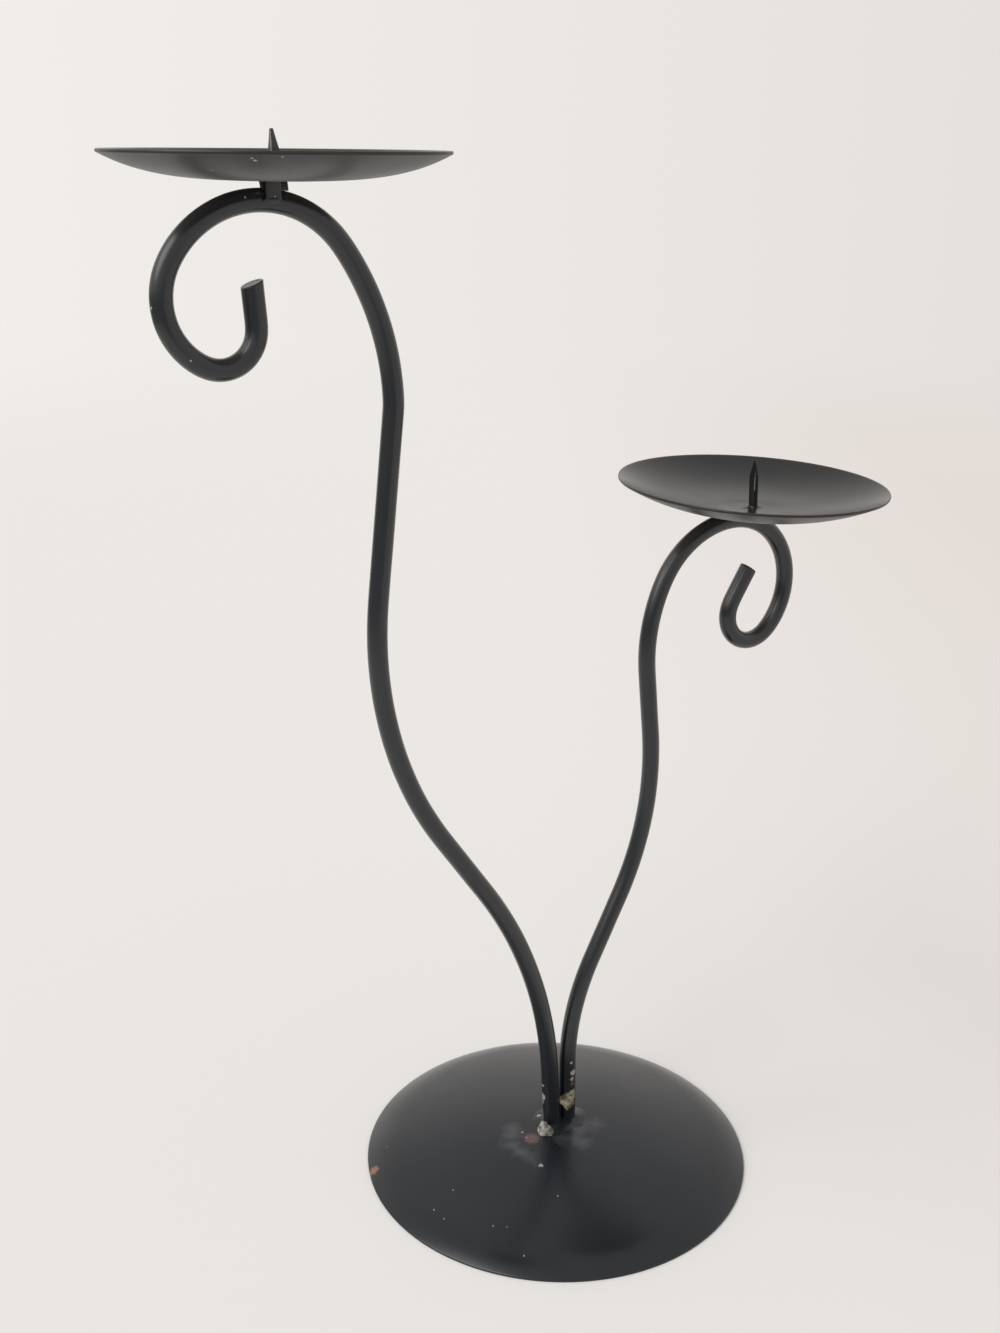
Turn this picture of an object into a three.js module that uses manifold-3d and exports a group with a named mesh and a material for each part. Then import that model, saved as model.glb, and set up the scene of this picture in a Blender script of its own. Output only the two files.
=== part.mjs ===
// Two-armed candle stand: a spun sheet base, two bent round bars that lean apart and end in
// scrolls, and over each arm's crown a shallow dish with a folded sheet spike through it.
// Everything is welded. Millimetres and degrees, +Z up; the arms lie in one upright plane
// along X, the tall one towards -X. The origin is on the table, under the middle of the box.
import * as THREE from 'three';
import { mergeVertices } from 'three/addons/utils/BufferGeometryUtils.js';
import Module from 'manifold-3d';

const wasm = await Module();
wasm.setup();

// ---------------------------------------------------------------- driving dimensions

const CLEARANCE = 0.3; // air left between neighbouring pieces, where weld would join them

const BASE_DIAMETER = 151.5;
const BASE_RISE = 14; // table to the top of the dome
const BASE_SHEET = 1.2;
const BASE_EDGE = 0.7; // height of the plain cut edge that stands on the table
const RIM_ROLL = 13; // width of the band by the rim where the dome turns down more steeply
const RIM_DROP = 2; // how much lower than the dome's sphere the rim ends

const FEET_SHIFT = 1.9; // midway between the two bars' feet, from the base's axis
const FEET_GAP = 0.5; // air between the two bars where they stand on the base

// A bar is a chain of straight runs and bends, from its foot to the scroll's tip. A positive
// turn bends it outwards, to the side that its arm leans to.
const TALL_BAR = {
  side: -1,
  diameter: 6.9,
  footLean: 4,
  tipCut: 16, // the scroll's end is sheared off this far from square
  run: [
    { name: 'foot', straight: 25 },
    { name: 'outward sweep', radius: 175, turn: 30.5 },
    { name: 'lower shank', straight: 30.5 },
    { name: 'return sweep', radius: 139, turn: -40.5 },
    { name: 'upper shank', straight: 62.5 },
    { name: 'knuckle', radius: 17.5, turn: 8 },
    { name: 'shoulder', radius: 87, turn: 34 },
    { name: 'crown', radius: 32.5, turn: 114 },
    { name: 'scroll', radius: 22, turn: 94 },
    { name: 'eye', radius: 11.5, turn: 120.5 },
    { name: 'tail', straight: 13.5 },
  ],
};
const SHORT_BAR = {
  side: 1,
  diameter: 6.5,
  footLean: -1,
  tipCut: 5,
  run: [
    { name: 'foot', straight: 25.5 },
    { name: 'outward sweep', radius: 95, turn: 27.5 },
    { name: 'lower shank', straight: 27.5 },
    { name: 'return sweep', radius: 119, turn: -33 },
    { name: 'upper shank', straight: 24.5 },
    { name: 'shoulder', radius: 63, turn: 32 },
    { name: 'crown', radius: 35, turn: 66 },
    { name: 'scroll', radius: 27, turn: 133.5 },
    { name: 'eye', radius: 11.5, turn: 166 },
    { name: 'tail', straight: 14.5 },
  ],
};

const DISH_SHEET = 0.9;
const SEAT_DIAMETER = 24; // flat middle that the candle stands on
const SLOT_LENGTH = 8.2; // slot that the spike comes up through
const SLOT_WIDTH = 2.2;
const TAB_HANG = 1.9; // the slot's torn-out tab hangs from its far side, behind the strip
const TAB_LAP = 0.25; // how far it may reach down past the top of the bar, in front of it
const TAB_SKEW = 0.8; // its lower edge is pushed towards +X

// A dish is set out by its diameter, its depth from rim to seat, the power that its side rises
// with, the air over the bar's crown, its shift along X from the crown, the middle of its slot,
// and its tilt towards +X and to the front.
const TALL_DISH = {
  diameter: 101.2, depth: 7.75, curve: 3.6, neck: 2, shift: 4.5, slot: -0.6, lean: 0.25, nod: -0.3,
};
const SHORT_DISH = {
  diameter: 100, depth: 9.6, curve: 2.8, neck: 0.75, shift: 4.4, slot: 0.7, lean: 1.8, nod: 1.2,
};

// A spike is a strip, folded lengthwise above the dish and cut to a point. Its flat foot laps
// the near side of the bar. Heights are above the dish's seat; shift is from the dish's middle.
const STRIP_SHEET = 0.8;
const STRIP_LAP = 3.3; // how far the strip's foot hangs below the top of the bar
const FOLD_RUN = 3; // height over which the flat strip turns into the fold
const POINT_WIDTH = 0.35; // what is left of each wing at the point
const POINT_BULGE = 1.8; // power that the point's edges curve in with; 1 would be straight
const TALL_SPIKE = {
  leftWing: 2.1, rightWing: 2.6, leftFold: 80, rightFold: 0, height: 13.3, point: 5.7, shift: -1.5,
};
const SHORT_SPIKE = {
  leftWing: 2.5, rightWing: 1.9, leftFold: 77, rightFold: 13, height: 17.7, point: 5.5, shift: 0.7,
};

const FOOT_WELD_REACH = 7; // from each bar's side outwards over the base
const FOOT_WELD_HEIGHT = 2.2;
const FOOT_LUMP_SIZE = { x: 5, y: 7, z: 6 }; // coarse lump in front of the tall bar's foot
const BRIDGE_WELD_SIZE = { x: 6.2, y: 4.4, z: 12 }; // bead from one bar across to the other
const BRIDGE_WELD_LIFT = 3.5; // base to the bead's lower end
const SEAT_WELD_SIZE = { x: 6.4, y: 2.2, z: 2.6 }; // bead under the strip's foot, on the bar

// ---------------------------------------------------------------- facets

const BAR_SIDES = 16;
const BEND_STEP = 7.5; // degrees of bend per facet
const BASE_SIDES = 72;
const DISH_SIDES = 56;
const PROFILE_STEPS = 9;
const WELD_SIDES = 16;

const rad = THREE.MathUtils.degToRad;

// ---------------------------------------------------------------- solids and meshes

function toSolid(geometry) {
  const bare = geometry.clone();
  bare.deleteAttribute('normal');
  bare.deleteAttribute('uv');
  const merged = mergeVertices(bare, 1e-4);
  return new wasm.Manifold(new wasm.Mesh({
    numProp: 3,
    vertProperties: new Float32Array(merged.attributes.position.array),
    triVerts: new Uint32Array(merged.index.array),
  }));
}

function toGeometry(solid) {
  const mesh = solid.getMesh();
  const geometry = new THREE.BufferGeometry();
  geometry.setAttribute('position', new THREE.BufferAttribute(mesh.vertProperties, 3));
  geometry.setIndex(new THREE.BufferAttribute(mesh.triVerts, 1));
  geometry.computeVertexNormals();
  return geometry;
}

// Turns a profile of [radius, height] points about the Z axis.
function lathe(profile, sides) {
  const points = profile.map(([r, z]) => new THREE.Vector2(r, z));
  return new THREE.LatheGeometry(points, sides).rotateX(Math.PI / 2);
}

// Joins rings of equally many points, the first and last closed by a flat cap.
function loft(rings) {
  const count = rings[0].length;
  const last = (rings.length - 1) * count;
  const cap = (ring) => THREE.ShapeUtils.triangulateShape(ring.map((p) => new THREE.Vector2(p.x, p.y)), []);
  const index = [];
  for (let k = 0; k < last; k += count) {
    for (let i = 0; i < count; i += 1) {
      const j = (i + 1) % count;
      index.push(k + i, k + j, k + count + j, k + i, k + count + j, k + count + i);
    }
  }
  cap(rings[0]).forEach(([a, b, c]) => index.push(a, c, b));
  cap(rings.at(-1)).forEach(([a, b, c]) => index.push(last + a, last + b, last + c));
  const geometry = new THREE.BufferGeometry().setFromPoints(rings.flat());
  geometry.setIndex(index);
  geometry.computeVertexNormals();
  return geometry;
}

function box(low, high) {
  const size = new THREE.Vector3().subVectors(high, low);
  const middle = new THREE.Vector3().addVectors(low, high).multiplyScalar(0.5);
  return new THREE.BoxGeometry(size.x, size.y, size.z).translate(middle.x, middle.y, middle.z);
}

function paint(colour, roughness, metalness) {
  return new THREE.MeshStandardMaterial({ color: colour, roughness, metalness });
}

function piece(name, geometry, material) {
  const mesh = new THREE.Mesh(geometry, material);
  mesh.name = name;
  return mesh;
}

// ---------------------------------------------------------------- base

const baseRadius = BASE_DIAMETER / 2;
const capRise = BASE_RISE - BASE_EDGE - RIM_DROP;
const capRadius = (baseRadius ** 2 + capRise ** 2) / (2 * capRise); // sphere the dome is part of

// Height and slope of the dome at a distance from its axis: a sphere, rolled down by the rim.
function dome(r) {
  const rolled = Math.max(0, (r - baseRadius + RIM_ROLL) / RIM_ROLL);
  const upright = Math.sqrt(capRadius ** 2 - r ** 2);
  return {
    z: BASE_RISE - capRadius + upright - RIM_DROP * rolled ** 2.5,
    slope: -r / upright - (2.5 * RIM_DROP * rolled ** 1.5) / RIM_ROLL,
  };
}

// Distances from the axis of the dome's facets, closer together by the rim.
function domeStations() {
  const stations = [];
  for (let i = 0; i <= PROFILE_STEPS; i += 1) {
    stations.push(baseRadius * (1 - (1 - i / PROFILE_STEPS) ** 1.6));
  }
  return stations;
}

function baseGeometry() {
  const outside = domeStations().map((r) => [r, dome(r).z]);
  const under = domeStations().map((r) => {
    const { z, slope } = dome(r);
    const square = BASE_SHEET / Math.hypot(1, slope);
    return [r + slope * square, z - square];
  });
  const inside = under.filter(([, z]) => z > BASE_SHEET / 4);
  const [aboveR, aboveZ] = inside.at(-1);
  const [belowR, belowZ] = under[inside.length];
  const land = aboveR + ((belowR - aboveR) * aboveZ) / (aboveZ - belowZ); // meets the table here
  return lathe([...inside, [land, 0], [baseRadius, 0], ...outside.reverse()], BASE_SIDES);
}

// ---------------------------------------------------------------- bars

// The bar's axis. It follows the run of straights and bends, keeps a station at each facet, and
// notes the crown, the highest place of the arc where the bar passes level.
class BarPath extends THREE.Curve {
  constructor(bar, footX) {
    super();
    this.side = bar.side;
    this.stations = [{ x: footX, z: BASE_RISE + CLEARANCE, heading: rad(bar.footLean) }];
    bar.run.forEach((stretch) => (stretch.straight ? this.goStraight(stretch) : this.bend(stretch)));
  }

  advance(chord, turn) {
    const { x, z, heading } = this.stations.at(-1);
    const aim = heading + turn / 2;
    this.stations.push({
      x: x + this.side * chord * Math.sin(aim),
      z: z + chord * Math.cos(aim),
      heading: heading + turn,
    });
  }

  goStraight({ straight }) {
    this.advance(straight, 0);
  }

  bend({ radius, turn }) {
    const { x, z, heading } = this.stations.at(-1);
    const level = Math.PI / 2;
    if (heading < level && heading + rad(turn) >= level) {
      this.crown = {
        x: x + this.side * radius * Math.cos(heading),
        z: z + radius * (1 - Math.sin(heading)),
      };
    }
    const steps = Math.ceil(Math.abs(turn) / BEND_STEP);
    const facet = rad(turn) / steps;
    for (let i = 0; i < steps; i += 1) {
      this.advance(2 * radius * Math.sin(Math.abs(facet) / 2), facet);
    }
  }

  get steps() {
    return this.stations.length - 1;
  }

  at(t) {
    return this.stations[Math.round(t * this.steps)];
  }

  getPointAt(t, target = new THREE.Vector3()) {
    const { x, z } = this.at(t);
    return target.set(x, 0, z);
  }

  getTangentAt(t, target = new THREE.Vector3()) {
    const { heading } = this.at(t);
    return target.set(this.side * Math.sin(heading), 0, Math.cos(heading));
  }

  getPoint(t, target) {
    return this.getPointAt(t, target);
  }
}

function barGeometry(path, radius) {
  const outline = [];
  for (let i = 0; i < BAR_SIDES; i += 1) {
    const angle = ((i + 0.5) / BAR_SIDES) * 2 * Math.PI;
    outline.push(new THREE.Vector2(radius * Math.cos(angle), radius * Math.sin(angle)));
  }
  return new THREE.ExtrudeGeometry(new THREE.Shape(outline), {
    steps: path.steps,
    extrudePath: path,
    bevelEnabled: false,
  });
}

// The bar with its scroll's tip sheared off askew.
function shearedBar(bar, path) {
  const tip = path.stations.at(-1);
  const reach = bar.diameter;
  const depth = (bar.diameter / 2) * Math.tan(rad(bar.tipCut));
  const waste = box(new THREE.Vector3(-reach, -reach, -depth), new THREE.Vector3(reach, reach, reach));
  waste.rotateY(bar.side * (tip.heading + rad(bar.tipCut))).translate(tip.x, 0, tip.z);
  return toSolid(barGeometry(path, bar.diameter / 2)).subtract(toSolid(waste));
}

const tallRadius = TALL_BAR.diameter / 2;
const shortRadius = SHORT_BAR.diameter / 2;
const tallFootX = FEET_SHIFT - FEET_GAP / 2 - tallRadius;
const shortFootX = FEET_SHIFT + FEET_GAP / 2 + shortRadius;
const tallPath = new BarPath(TALL_BAR, tallFootX);
const shortPath = new BarPath(SHORT_BAR, shortFootX);

// The bars grown by the clearance, which the welds are cut back by.
const tallKeepOut = toSolid(barGeometry(tallPath, tallRadius + CLEARANCE));
const shortKeepOut = toSolid(barGeometry(shortPath, shortRadius + CLEARANCE));

// ---------------------------------------------------------------- dishes

const seatRadius = SEAT_DIAMETER / 2;

// Height and slope of the dish's side above its seat, at a distance from the dish's middle.
function dishSide({ diameter, depth, curve }, r) {
  const span = (diameter / 2) ** curve - seatRadius ** curve;
  return {
    rise: (depth * (r ** curve - seatRadius ** curve)) / span,
    slope: (depth * curve * r ** (curve - 1)) / span,
  };
}

// The dish without its slot, its underside's flat middle at z = 0.
function dishShell(dish) {
  const outside = [[0, 0]];
  const inside = [[0, DISH_SHEET]];
  for (let i = 0; i <= PROFILE_STEPS; i += 1) {
    const r = seatRadius + ((dish.diameter / 2 - seatRadius) * i) / PROFILE_STEPS;
    const { rise, slope } = dishSide(dish, r);
    const wall = i === 0 ? DISH_SHEET : DISH_SHEET * Math.hypot(1, slope);
    inside.push([r, DISH_SHEET + rise]);
    outside.push([r, DISH_SHEET + rise - wall]);
  }
  return lathe([...outside, ...inside.reverse()], DISH_SIDES);
}

// The tab torn out of the slot, turned down from its far side.
function tabGeometry({ slot, neck }) {
  const hang = Math.min(TAB_HANG, neck + TAB_LAP);
  const ring = (shift, z) => [
    new THREE.Vector3(slot + shift - SLOT_LENGTH / 2, SLOT_WIDTH / 2, z),
    new THREE.Vector3(slot + shift + SLOT_LENGTH / 2, SLOT_WIDTH / 2, z),
    new THREE.Vector3(slot + shift + SLOT_LENGTH / 2, SLOT_WIDTH / 2 + DISH_SHEET, z),
    new THREE.Vector3(slot + shift - SLOT_LENGTH / 2, SLOT_WIDTH / 2 + DISH_SHEET, z),
  ];
  return loft([ring(TAB_SKEW, -hang), ring(0, DISH_SHEET / 2)]);
}

// The dish with the slot for its spike and the torn tab behind it.
function dishGeometry(dish) {
  const slot = box(
    new THREE.Vector3(dish.slot - SLOT_LENGTH / 2, -SLOT_WIDTH / 2, -CLEARANCE / 4),
    new THREE.Vector3(dish.slot + SLOT_LENGTH / 2, SLOT_WIDTH / 2, 2 * DISH_SHEET),
  );
  return toGeometry(toSolid(dishShell(dish)).subtract(toSolid(slot)).add(toSolid(tabGeometry(dish))));
}

// ---------------------------------------------------------------- spikes

// Section of the strip about its fold line: the wings swing back by the two angles.
function stripSection(leftWing, rightWing, leftSwing, rightSwing, sheet, z) {
  const right = new THREE.Vector2(Math.cos(rightSwing), Math.sin(rightSwing));
  const left = new THREE.Vector2(-Math.cos(leftSwing), Math.sin(leftSwing));
  const rightBack = new THREE.Vector2(-right.y, right.x);
  const leftBack = new THREE.Vector2(left.y, -left.x);
  const halfFold = (leftSwing + rightSwing) / 2;
  const valley = rightBack.clone().add(leftBack).setLength(sheet / Math.cos(halfFold));
  const corner = (wing, along, back, depth) => along.clone().multiplyScalar(wing).addScaledVector(back, depth);
  return [
    new THREE.Vector2(0, 0),
    corner(rightWing, right, rightBack, 0),
    corner(rightWing, right, rightBack, sheet),
    valley,
    corner(leftWing, left, leftBack, sheet),
    corner(leftWing, left, leftBack, 0),
  ].map((p) => new THREE.Vector3(p.x, p.y, z));
}

// The spike, its fold line on the Z axis, its front at y = 0, its foot at z = 0 and the dish's
// seat at seatZ.
function spikeGeometry(spike, seatZ) {
  const flat = seatZ + CLEARANCE;
  const folded = flat + FOLD_RUN;
  const tip = seatZ + spike.height;
  const leftFold = rad(spike.leftFold);
  const rightFold = rad(spike.rightFold);
  const rings = [[0, 0], [flat, 0], [flat + FOLD_RUN / 2, 0.5], [folded, 1]].map(([z, fold]) => (
    stripSection(spike.leftWing, spike.rightWing, leftFold * fold, rightFold * fold, STRIP_SHEET, z)));
  const shoulder = Math.max(tip - spike.point, folded + CLEARANCE);
  for (const down of [1, 0.65, 0.3, 0]) {
    const share = 1 - (1 - down) ** POINT_BULGE;
    const wing = (full) => POINT_WIDTH + (full - POINT_WIDTH) * share;
    const sheet = Math.min(STRIP_SHEET, 0.8 * wing(Math.min(spike.leftWing, spike.rightWing)));
    const z = tip - (tip - shoulder) * down;
    rings.push(stripSection(wing(spike.leftWing), wing(spike.rightWing), leftFold, rightFold, sheet, z));
  }
  return loft(rings);
}

// ---------------------------------------------------------------- arms

// Where one arm's dish and strip sit on its bar. The dish stands over the strip, which laps the
// bar's near side, so both are a little in front of the bar's axis.
function armPlaces(bar, path, dish, spike) {
  const radius = bar.diameter / 2;
  const top = path.crown.z + radius;
  const dishX = path.crown.x + dish.shift;
  const stripMiddle = -(radius + CLEARANCE + STRIP_SHEET / 2);
  return {
    dish: new THREE.Vector3(dishX, stripMiddle, top + dish.neck),
    strip: new THREE.Vector3(
      dishX + spike.shift + (spike.leftWing - spike.rightWing) / 2,
      stripMiddle - STRIP_SHEET / 2,
      top - STRIP_LAP,
    ),
  };
}

const tallPlaces = armPlaces(TALL_BAR, tallPath, TALL_DISH, TALL_SPIKE);
const shortPlaces = armPlaces(SHORT_BAR, shortPath, SHORT_DISH, SHORT_SPIKE);

function dishGroup(name, dish, places, material) {
  const group = new THREE.Group();
  group.position.copy(places.dish);
  group.rotation.set(rad(dish.nod), rad(dish.lean), 0);
  group.add(piece(name, dishGeometry(dish), material));
  return group;
}

function spikeMesh(name, spike, places, material) {
  const seatZ = places.dish.z + DISH_SHEET - places.strip.z;
  const mesh = piece(name, spikeGeometry(spike, seatZ), material);
  mesh.position.copy(places.strip);
  return mesh;
}

// ---------------------------------------------------------------- welds

// A lump of weld: an egg whose surface swells and sinks by a few per cent.
function lump(middle, size, phase) {
  const geometry = new THREE.SphereGeometry(1, WELD_SIDES, WELD_SIDES / 2);
  const position = geometry.attributes.position;
  const p = new THREE.Vector3();
  for (let i = 0; i < position.count; i += 1) {
    p.fromBufferAttribute(position, i);
    p.multiplyScalar(1 + 0.05 * Math.sin(5 * p.x + phase) + 0.05 * Math.sin(6 * p.z + 2 * phase));
    position.setXYZ(i, (p.x * size.x) / 2, (p.y * size.y) / 2, (p.z * size.z) / 2);
  }
  return toSolid(geometry.translate(middle.x, middle.y, middle.z));
}

// Puddle of weld round one bar's foot, its outline wavering.
function puddle(x, barRadius, phase) {
  const reach = barRadius + FOOT_WELD_REACH;
  const profile = [[1, -2], [1, 0], [0.82, 0.3], [0.68, 0.72], [0.5, 1]]; // share of reach, of height
  return toSolid(loft(profile.map(([share, lift]) => {
    const ring = [];
    for (let i = 0; i < 2 * WELD_SIDES; i += 1) {
      const angle = (i / WELD_SIDES) * Math.PI;
      const waver = 1 + 0.07 * Math.sin(3 * angle + phase) + 0.04 * Math.sin(7 * angle + 2 * phase);
      const r = reach * share * waver;
      const z = BASE_RISE + FOOT_WELD_HEIGHT * lift;
      ring.push(new THREE.Vector3(x + r * Math.cos(angle), r * Math.sin(angle), z));
    }
    return ring;
  })));
}

// The base's dome grown upwards by the clearance, down to below the table.
function domeKeepOut() {
  const top = domeStations().reverse().map((r) => [r, dome(r).z + CLEARANCE]);
  return toSolid(lathe([[0, -BASE_RISE], [baseRadius, -BASE_RISE], ...top], BASE_SIDES));
}

// Upright hole in the foot weld for one bar's foot.
function footHole(x, barRadius) {
  const radius = barRadius + CLEARANCE;
  const hole = new THREE.CylinderGeometry(radius, radius, 2 * BASE_RISE, 2 * BAR_SIDES);
  return toSolid(hole.rotateX(Math.PI / 2).translate(x, 0, BASE_RISE));
}

// Weld round both feet, with the coarse lump that leans on the front of the tall bar.
function footWeld() {
  const lumpMiddle = new THREE.Vector3(
    tallFootX - tallRadius,
    -(tallRadius + FOOT_LUMP_SIZE.y / 4),
    BASE_RISE + FOOT_LUMP_SIZE.z / 4,
  );
  return puddle(tallFootX, tallRadius, 0.4)
    .add(puddle(shortFootX, shortRadius, 2.1))
    .add(lump(lumpMiddle, FOOT_LUMP_SIZE, 2.6))
    .subtract(domeKeepOut())
    .subtract(footHole(tallFootX, tallRadius))
    .subtract(footHole(shortFootX, shortRadius))
    .subtract(tallKeepOut)
    .subtract(shortKeepOut);
}

// Bead on the front of the two bars, from the groove between them over the short one.
function bridgeWeld() {
  const middle = new THREE.Vector3(
    (FEET_SHIFT + shortFootX) / 2,
    -shortRadius * 0.8,
    BASE_RISE + BRIDGE_WELD_LIFT + BRIDGE_WELD_SIZE.z / 2,
  );
  return lump(middle, BRIDGE_WELD_SIZE, 0.9).subtract(tallKeepOut).subtract(shortKeepOut);
}

// Bead under the strip's foot, on the near side of the bar.
function seatWeld(places, keepOut) {
  const { dish, strip } = places;
  const middle = new THREE.Vector3(strip.x, strip.y + STRIP_SHEET * 0.7, strip.z - CLEARANCE);
  const stripKeepOut = box(
    new THREE.Vector3(dish.x - baseRadius, strip.y - CLEARANCE, strip.z - CLEARANCE),
    new THREE.Vector3(dish.x + baseRadius, 0, dish.z),
  );
  return lump(middle, SEAT_WELD_SIZE, 1.7).subtract(keepOut).subtract(toSolid(stripKeepOut));
}

// ---------------------------------------------------------------- the stand

const blackSatin = paint(0x2b2d30, 0.42, 0.15);
const dishBlack = paint(0x34363a, 0.38, 0.15);
const spikeBlack = paint(0x3a3b3e, 0.4, 0.2);
const weldBlack = paint(0x3c3b39, 0.7, 0.1);

const stand = new THREE.Group();
stand.add(
  piece('base_dome', baseGeometry(), blackSatin),
  piece('tall_stem', toGeometry(shearedBar(TALL_BAR, tallPath)), blackSatin),
  piece('short_stem', toGeometry(shearedBar(SHORT_BAR, shortPath)), blackSatin),
  dishGroup('tall_plate', TALL_DISH, tallPlaces, dishBlack),
  dishGroup('short_plate', SHORT_DISH, shortPlaces, dishBlack),
  spikeMesh('tall_spike', TALL_SPIKE, tallPlaces, spikeBlack),
  spikeMesh('short_spike', SHORT_SPIKE, shortPlaces, spikeBlack),
  piece('foot_weld', toGeometry(footWeld()), weldBlack),
  piece('bridge_weld', toGeometry(bridgeWeld()), weldBlack),
  piece('tall_seat_weld', toGeometry(seatWeld(tallPlaces, tallKeepOut)), weldBlack),
  piece('short_seat_weld', toGeometry(seatWeld(shortPlaces, shortKeepOut)), weldBlack),
);

// Slides the stand so that its box is centred over the origin.
const bounds = new THREE.Box3().setFromObject(stand);
stand.position.x = -(bounds.min.x + bounds.max.x) / 2;
stand.position.y = -(bounds.min.y + bounds.max.y) / 2;

export default stand;
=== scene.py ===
"""Looks of a two-armed candle stand in satin black enamel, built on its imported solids.

Sizes are in millimetres until a mesh is made, and +Z is up. The arms lie in the upright plane
y = 0. Places that are said to be from the base are measured from its axis and the table.
"""

import itertools
import logging
import math
from dataclasses import dataclass, field
from enum import Enum
from typing import Any

import bpy
import numpy as np
from mathutils import Matrix, Vector


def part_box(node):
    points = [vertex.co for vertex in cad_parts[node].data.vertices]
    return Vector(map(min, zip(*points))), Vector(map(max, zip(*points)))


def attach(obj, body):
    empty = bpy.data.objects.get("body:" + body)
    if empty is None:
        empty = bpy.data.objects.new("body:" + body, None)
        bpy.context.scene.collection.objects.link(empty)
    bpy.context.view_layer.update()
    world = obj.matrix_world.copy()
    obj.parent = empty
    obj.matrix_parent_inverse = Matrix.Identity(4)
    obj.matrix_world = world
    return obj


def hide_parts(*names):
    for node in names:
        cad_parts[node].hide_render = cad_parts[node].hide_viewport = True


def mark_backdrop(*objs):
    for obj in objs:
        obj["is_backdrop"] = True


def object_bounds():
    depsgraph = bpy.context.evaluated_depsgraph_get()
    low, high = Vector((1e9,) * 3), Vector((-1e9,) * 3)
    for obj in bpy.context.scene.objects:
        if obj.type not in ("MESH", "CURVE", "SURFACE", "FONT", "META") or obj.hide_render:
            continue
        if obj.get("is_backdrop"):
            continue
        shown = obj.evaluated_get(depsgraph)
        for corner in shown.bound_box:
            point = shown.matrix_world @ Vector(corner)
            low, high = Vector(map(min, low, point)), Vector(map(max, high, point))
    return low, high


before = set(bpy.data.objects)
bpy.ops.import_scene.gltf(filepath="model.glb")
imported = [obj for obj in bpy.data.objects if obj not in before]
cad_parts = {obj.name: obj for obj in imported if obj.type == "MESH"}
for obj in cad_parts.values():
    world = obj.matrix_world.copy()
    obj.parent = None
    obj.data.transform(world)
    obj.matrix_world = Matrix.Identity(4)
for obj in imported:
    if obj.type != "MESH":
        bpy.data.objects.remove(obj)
CAD_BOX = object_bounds()

log = logging.getLogger("candle stand")

MM = 0.001
COLOURS = {"data_type": "RGBA"}  # settings that make a Mix node mix colours
SMOOTH = {"interpolation_type": "SMOOTHSTEP"}


class Slot(Enum):
    """The record's material slots."""

    BASE = "base_paint"
    BAR = "bar_paint"
    DISH = "dish_paint"
    SPIKE = "spike_paint"
    WELD = "weld_paint"


class Lean(Enum):
    """The way that an arm leans, as the sign of X."""

    LEFT = -1
    RIGHT = 1


class Mark(Enum):
    """What shows where the enamel is scorched or gone, and the painted highlights drawn with the
    same marks.

    Each has its colour, how softly its edge fades, and how much of the enamel it hides.
    """

    SCORCH_AND_SHEEN = ("#77787a", 0.9, 0.32)
    BARE_AND_GLINT = ("#9d9b96", 0.1, 1.0)
    RUST = ("#6d4f49", 0.3, 0.8)
    ORANGE_RUST = ("#8a5f45", 0.1, 1.0)

    def __init__(self, tone: str, fade: float, cover: float) -> None:
        """Keeps the mark's look."""
        self.tone, self.fade, self.cover = tone, fade, cover


# ---------------------------------------------------------------- surfaces


class Unevenness:
    """Smooth random unevenness in space, the same on every run.

    Numbers from -1 to 1 stand on whole-number points and are eased between them.
    """

    LATTICE = 48
    APART = 7.3  # cells from one layer's start to the next one's, so that they don't line up

    def __init__(self, seed: int) -> None:
        """Draws the lattice's numbers from a seed."""
        self.values = np.random.default_rng(seed).uniform(-1, 1, (self.LATTICE,) * 3)

    def at(self, points: np.ndarray) -> np.ndarray:
        """Reads the unevenness.

        In each cell it is the sum over the eight corners of the corner's number times the product
        of the eased shares 3t^2 - 2t^3 along the three axes.

        Args:
            points: places, with x, y and z on the last axis, one lattice cell to the unit.

        Returns:
            One number from -1 to 1 for each place.
        """
        cell = np.floor(points).astype(int)
        share = points - cell
        share = share * share * (3 - 2 * share)
        total = np.zeros(points.shape[:-1])
        for corner in itertools.product((0, 1), repeat=3):
            weight = np.prod(np.where(np.array(corner) == 1, share, 1 - share), axis=-1)
            i, j, k = np.moveaxis((cell + corner) % self.LATTICE, -1, 0)
            total += weight * self.values[i, j, k]
        return total

    def layered(self, points: np.ndarray, layers: int) -> np.ndarray:
        """Sums layers of unevenness, each half as high and twice as fine as the one before.

        Args:
            points: places, with x, y and z on the last axis.
            layers: how many layers.

        Returns:
            One number for each place.
        """
        return sum(self.at(points * 2.0**n + self.APART * n) / 2.0**n for n in range(layers))


@dataclass
class Skin:
    """A closed surface: its points in millimetres and its four- and three-sided faces."""

    points: np.ndarray
    quads: np.ndarray
    triangles: np.ndarray

    def volume(self) -> float:
        """Adds up the tetrahedra a . (b x c) / 6 between the origin and the faces.

        Returns:
            The volume inside, which is negative where the faces point inwards.
        """
        a, b, c, d = (self.points[self.quads[:, i]] for i in range(4))
        e, f, g = (self.points[self.triangles[:, i]] for i in range(3))
        corners = [(a, b, c), (a, c, d), (e, f, g)]
        return sum(float(np.sum(p * np.cross(q, r))) / 6 for p, q, r in corners)

    def outward(self) -> "Skin":
        """Turns the faces round where they point inwards.

        Returns:
            The same surface with its faces pointing outwards.
        """
        if self.volume() >= 0:
            return self
        return Skin(self.points, self.quads[:, ::-1], self.triangles[:, ::-1])

    def placed(self, turn: np.ndarray, place: np.ndarray) -> "Skin":
        """Gives the surface turned by a 3 x 3 matrix and then moved to a place."""
        return Skin(self.points @ turn.T + place, self.quads, self.triangles)

    def with_skin(self, other: "Skin") -> "Skin":
        """Puts another surface beside this one.

        Args:
            other: the other surface.

        Returns:
            Both in one mesh.
        """
        start = len(self.points)
        return Skin(
            np.vstack([self.points, other.points]),
            np.vstack([self.quads, other.quads + start]),
            np.vstack([self.triangles, other.triangles + start]),
        )


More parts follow.
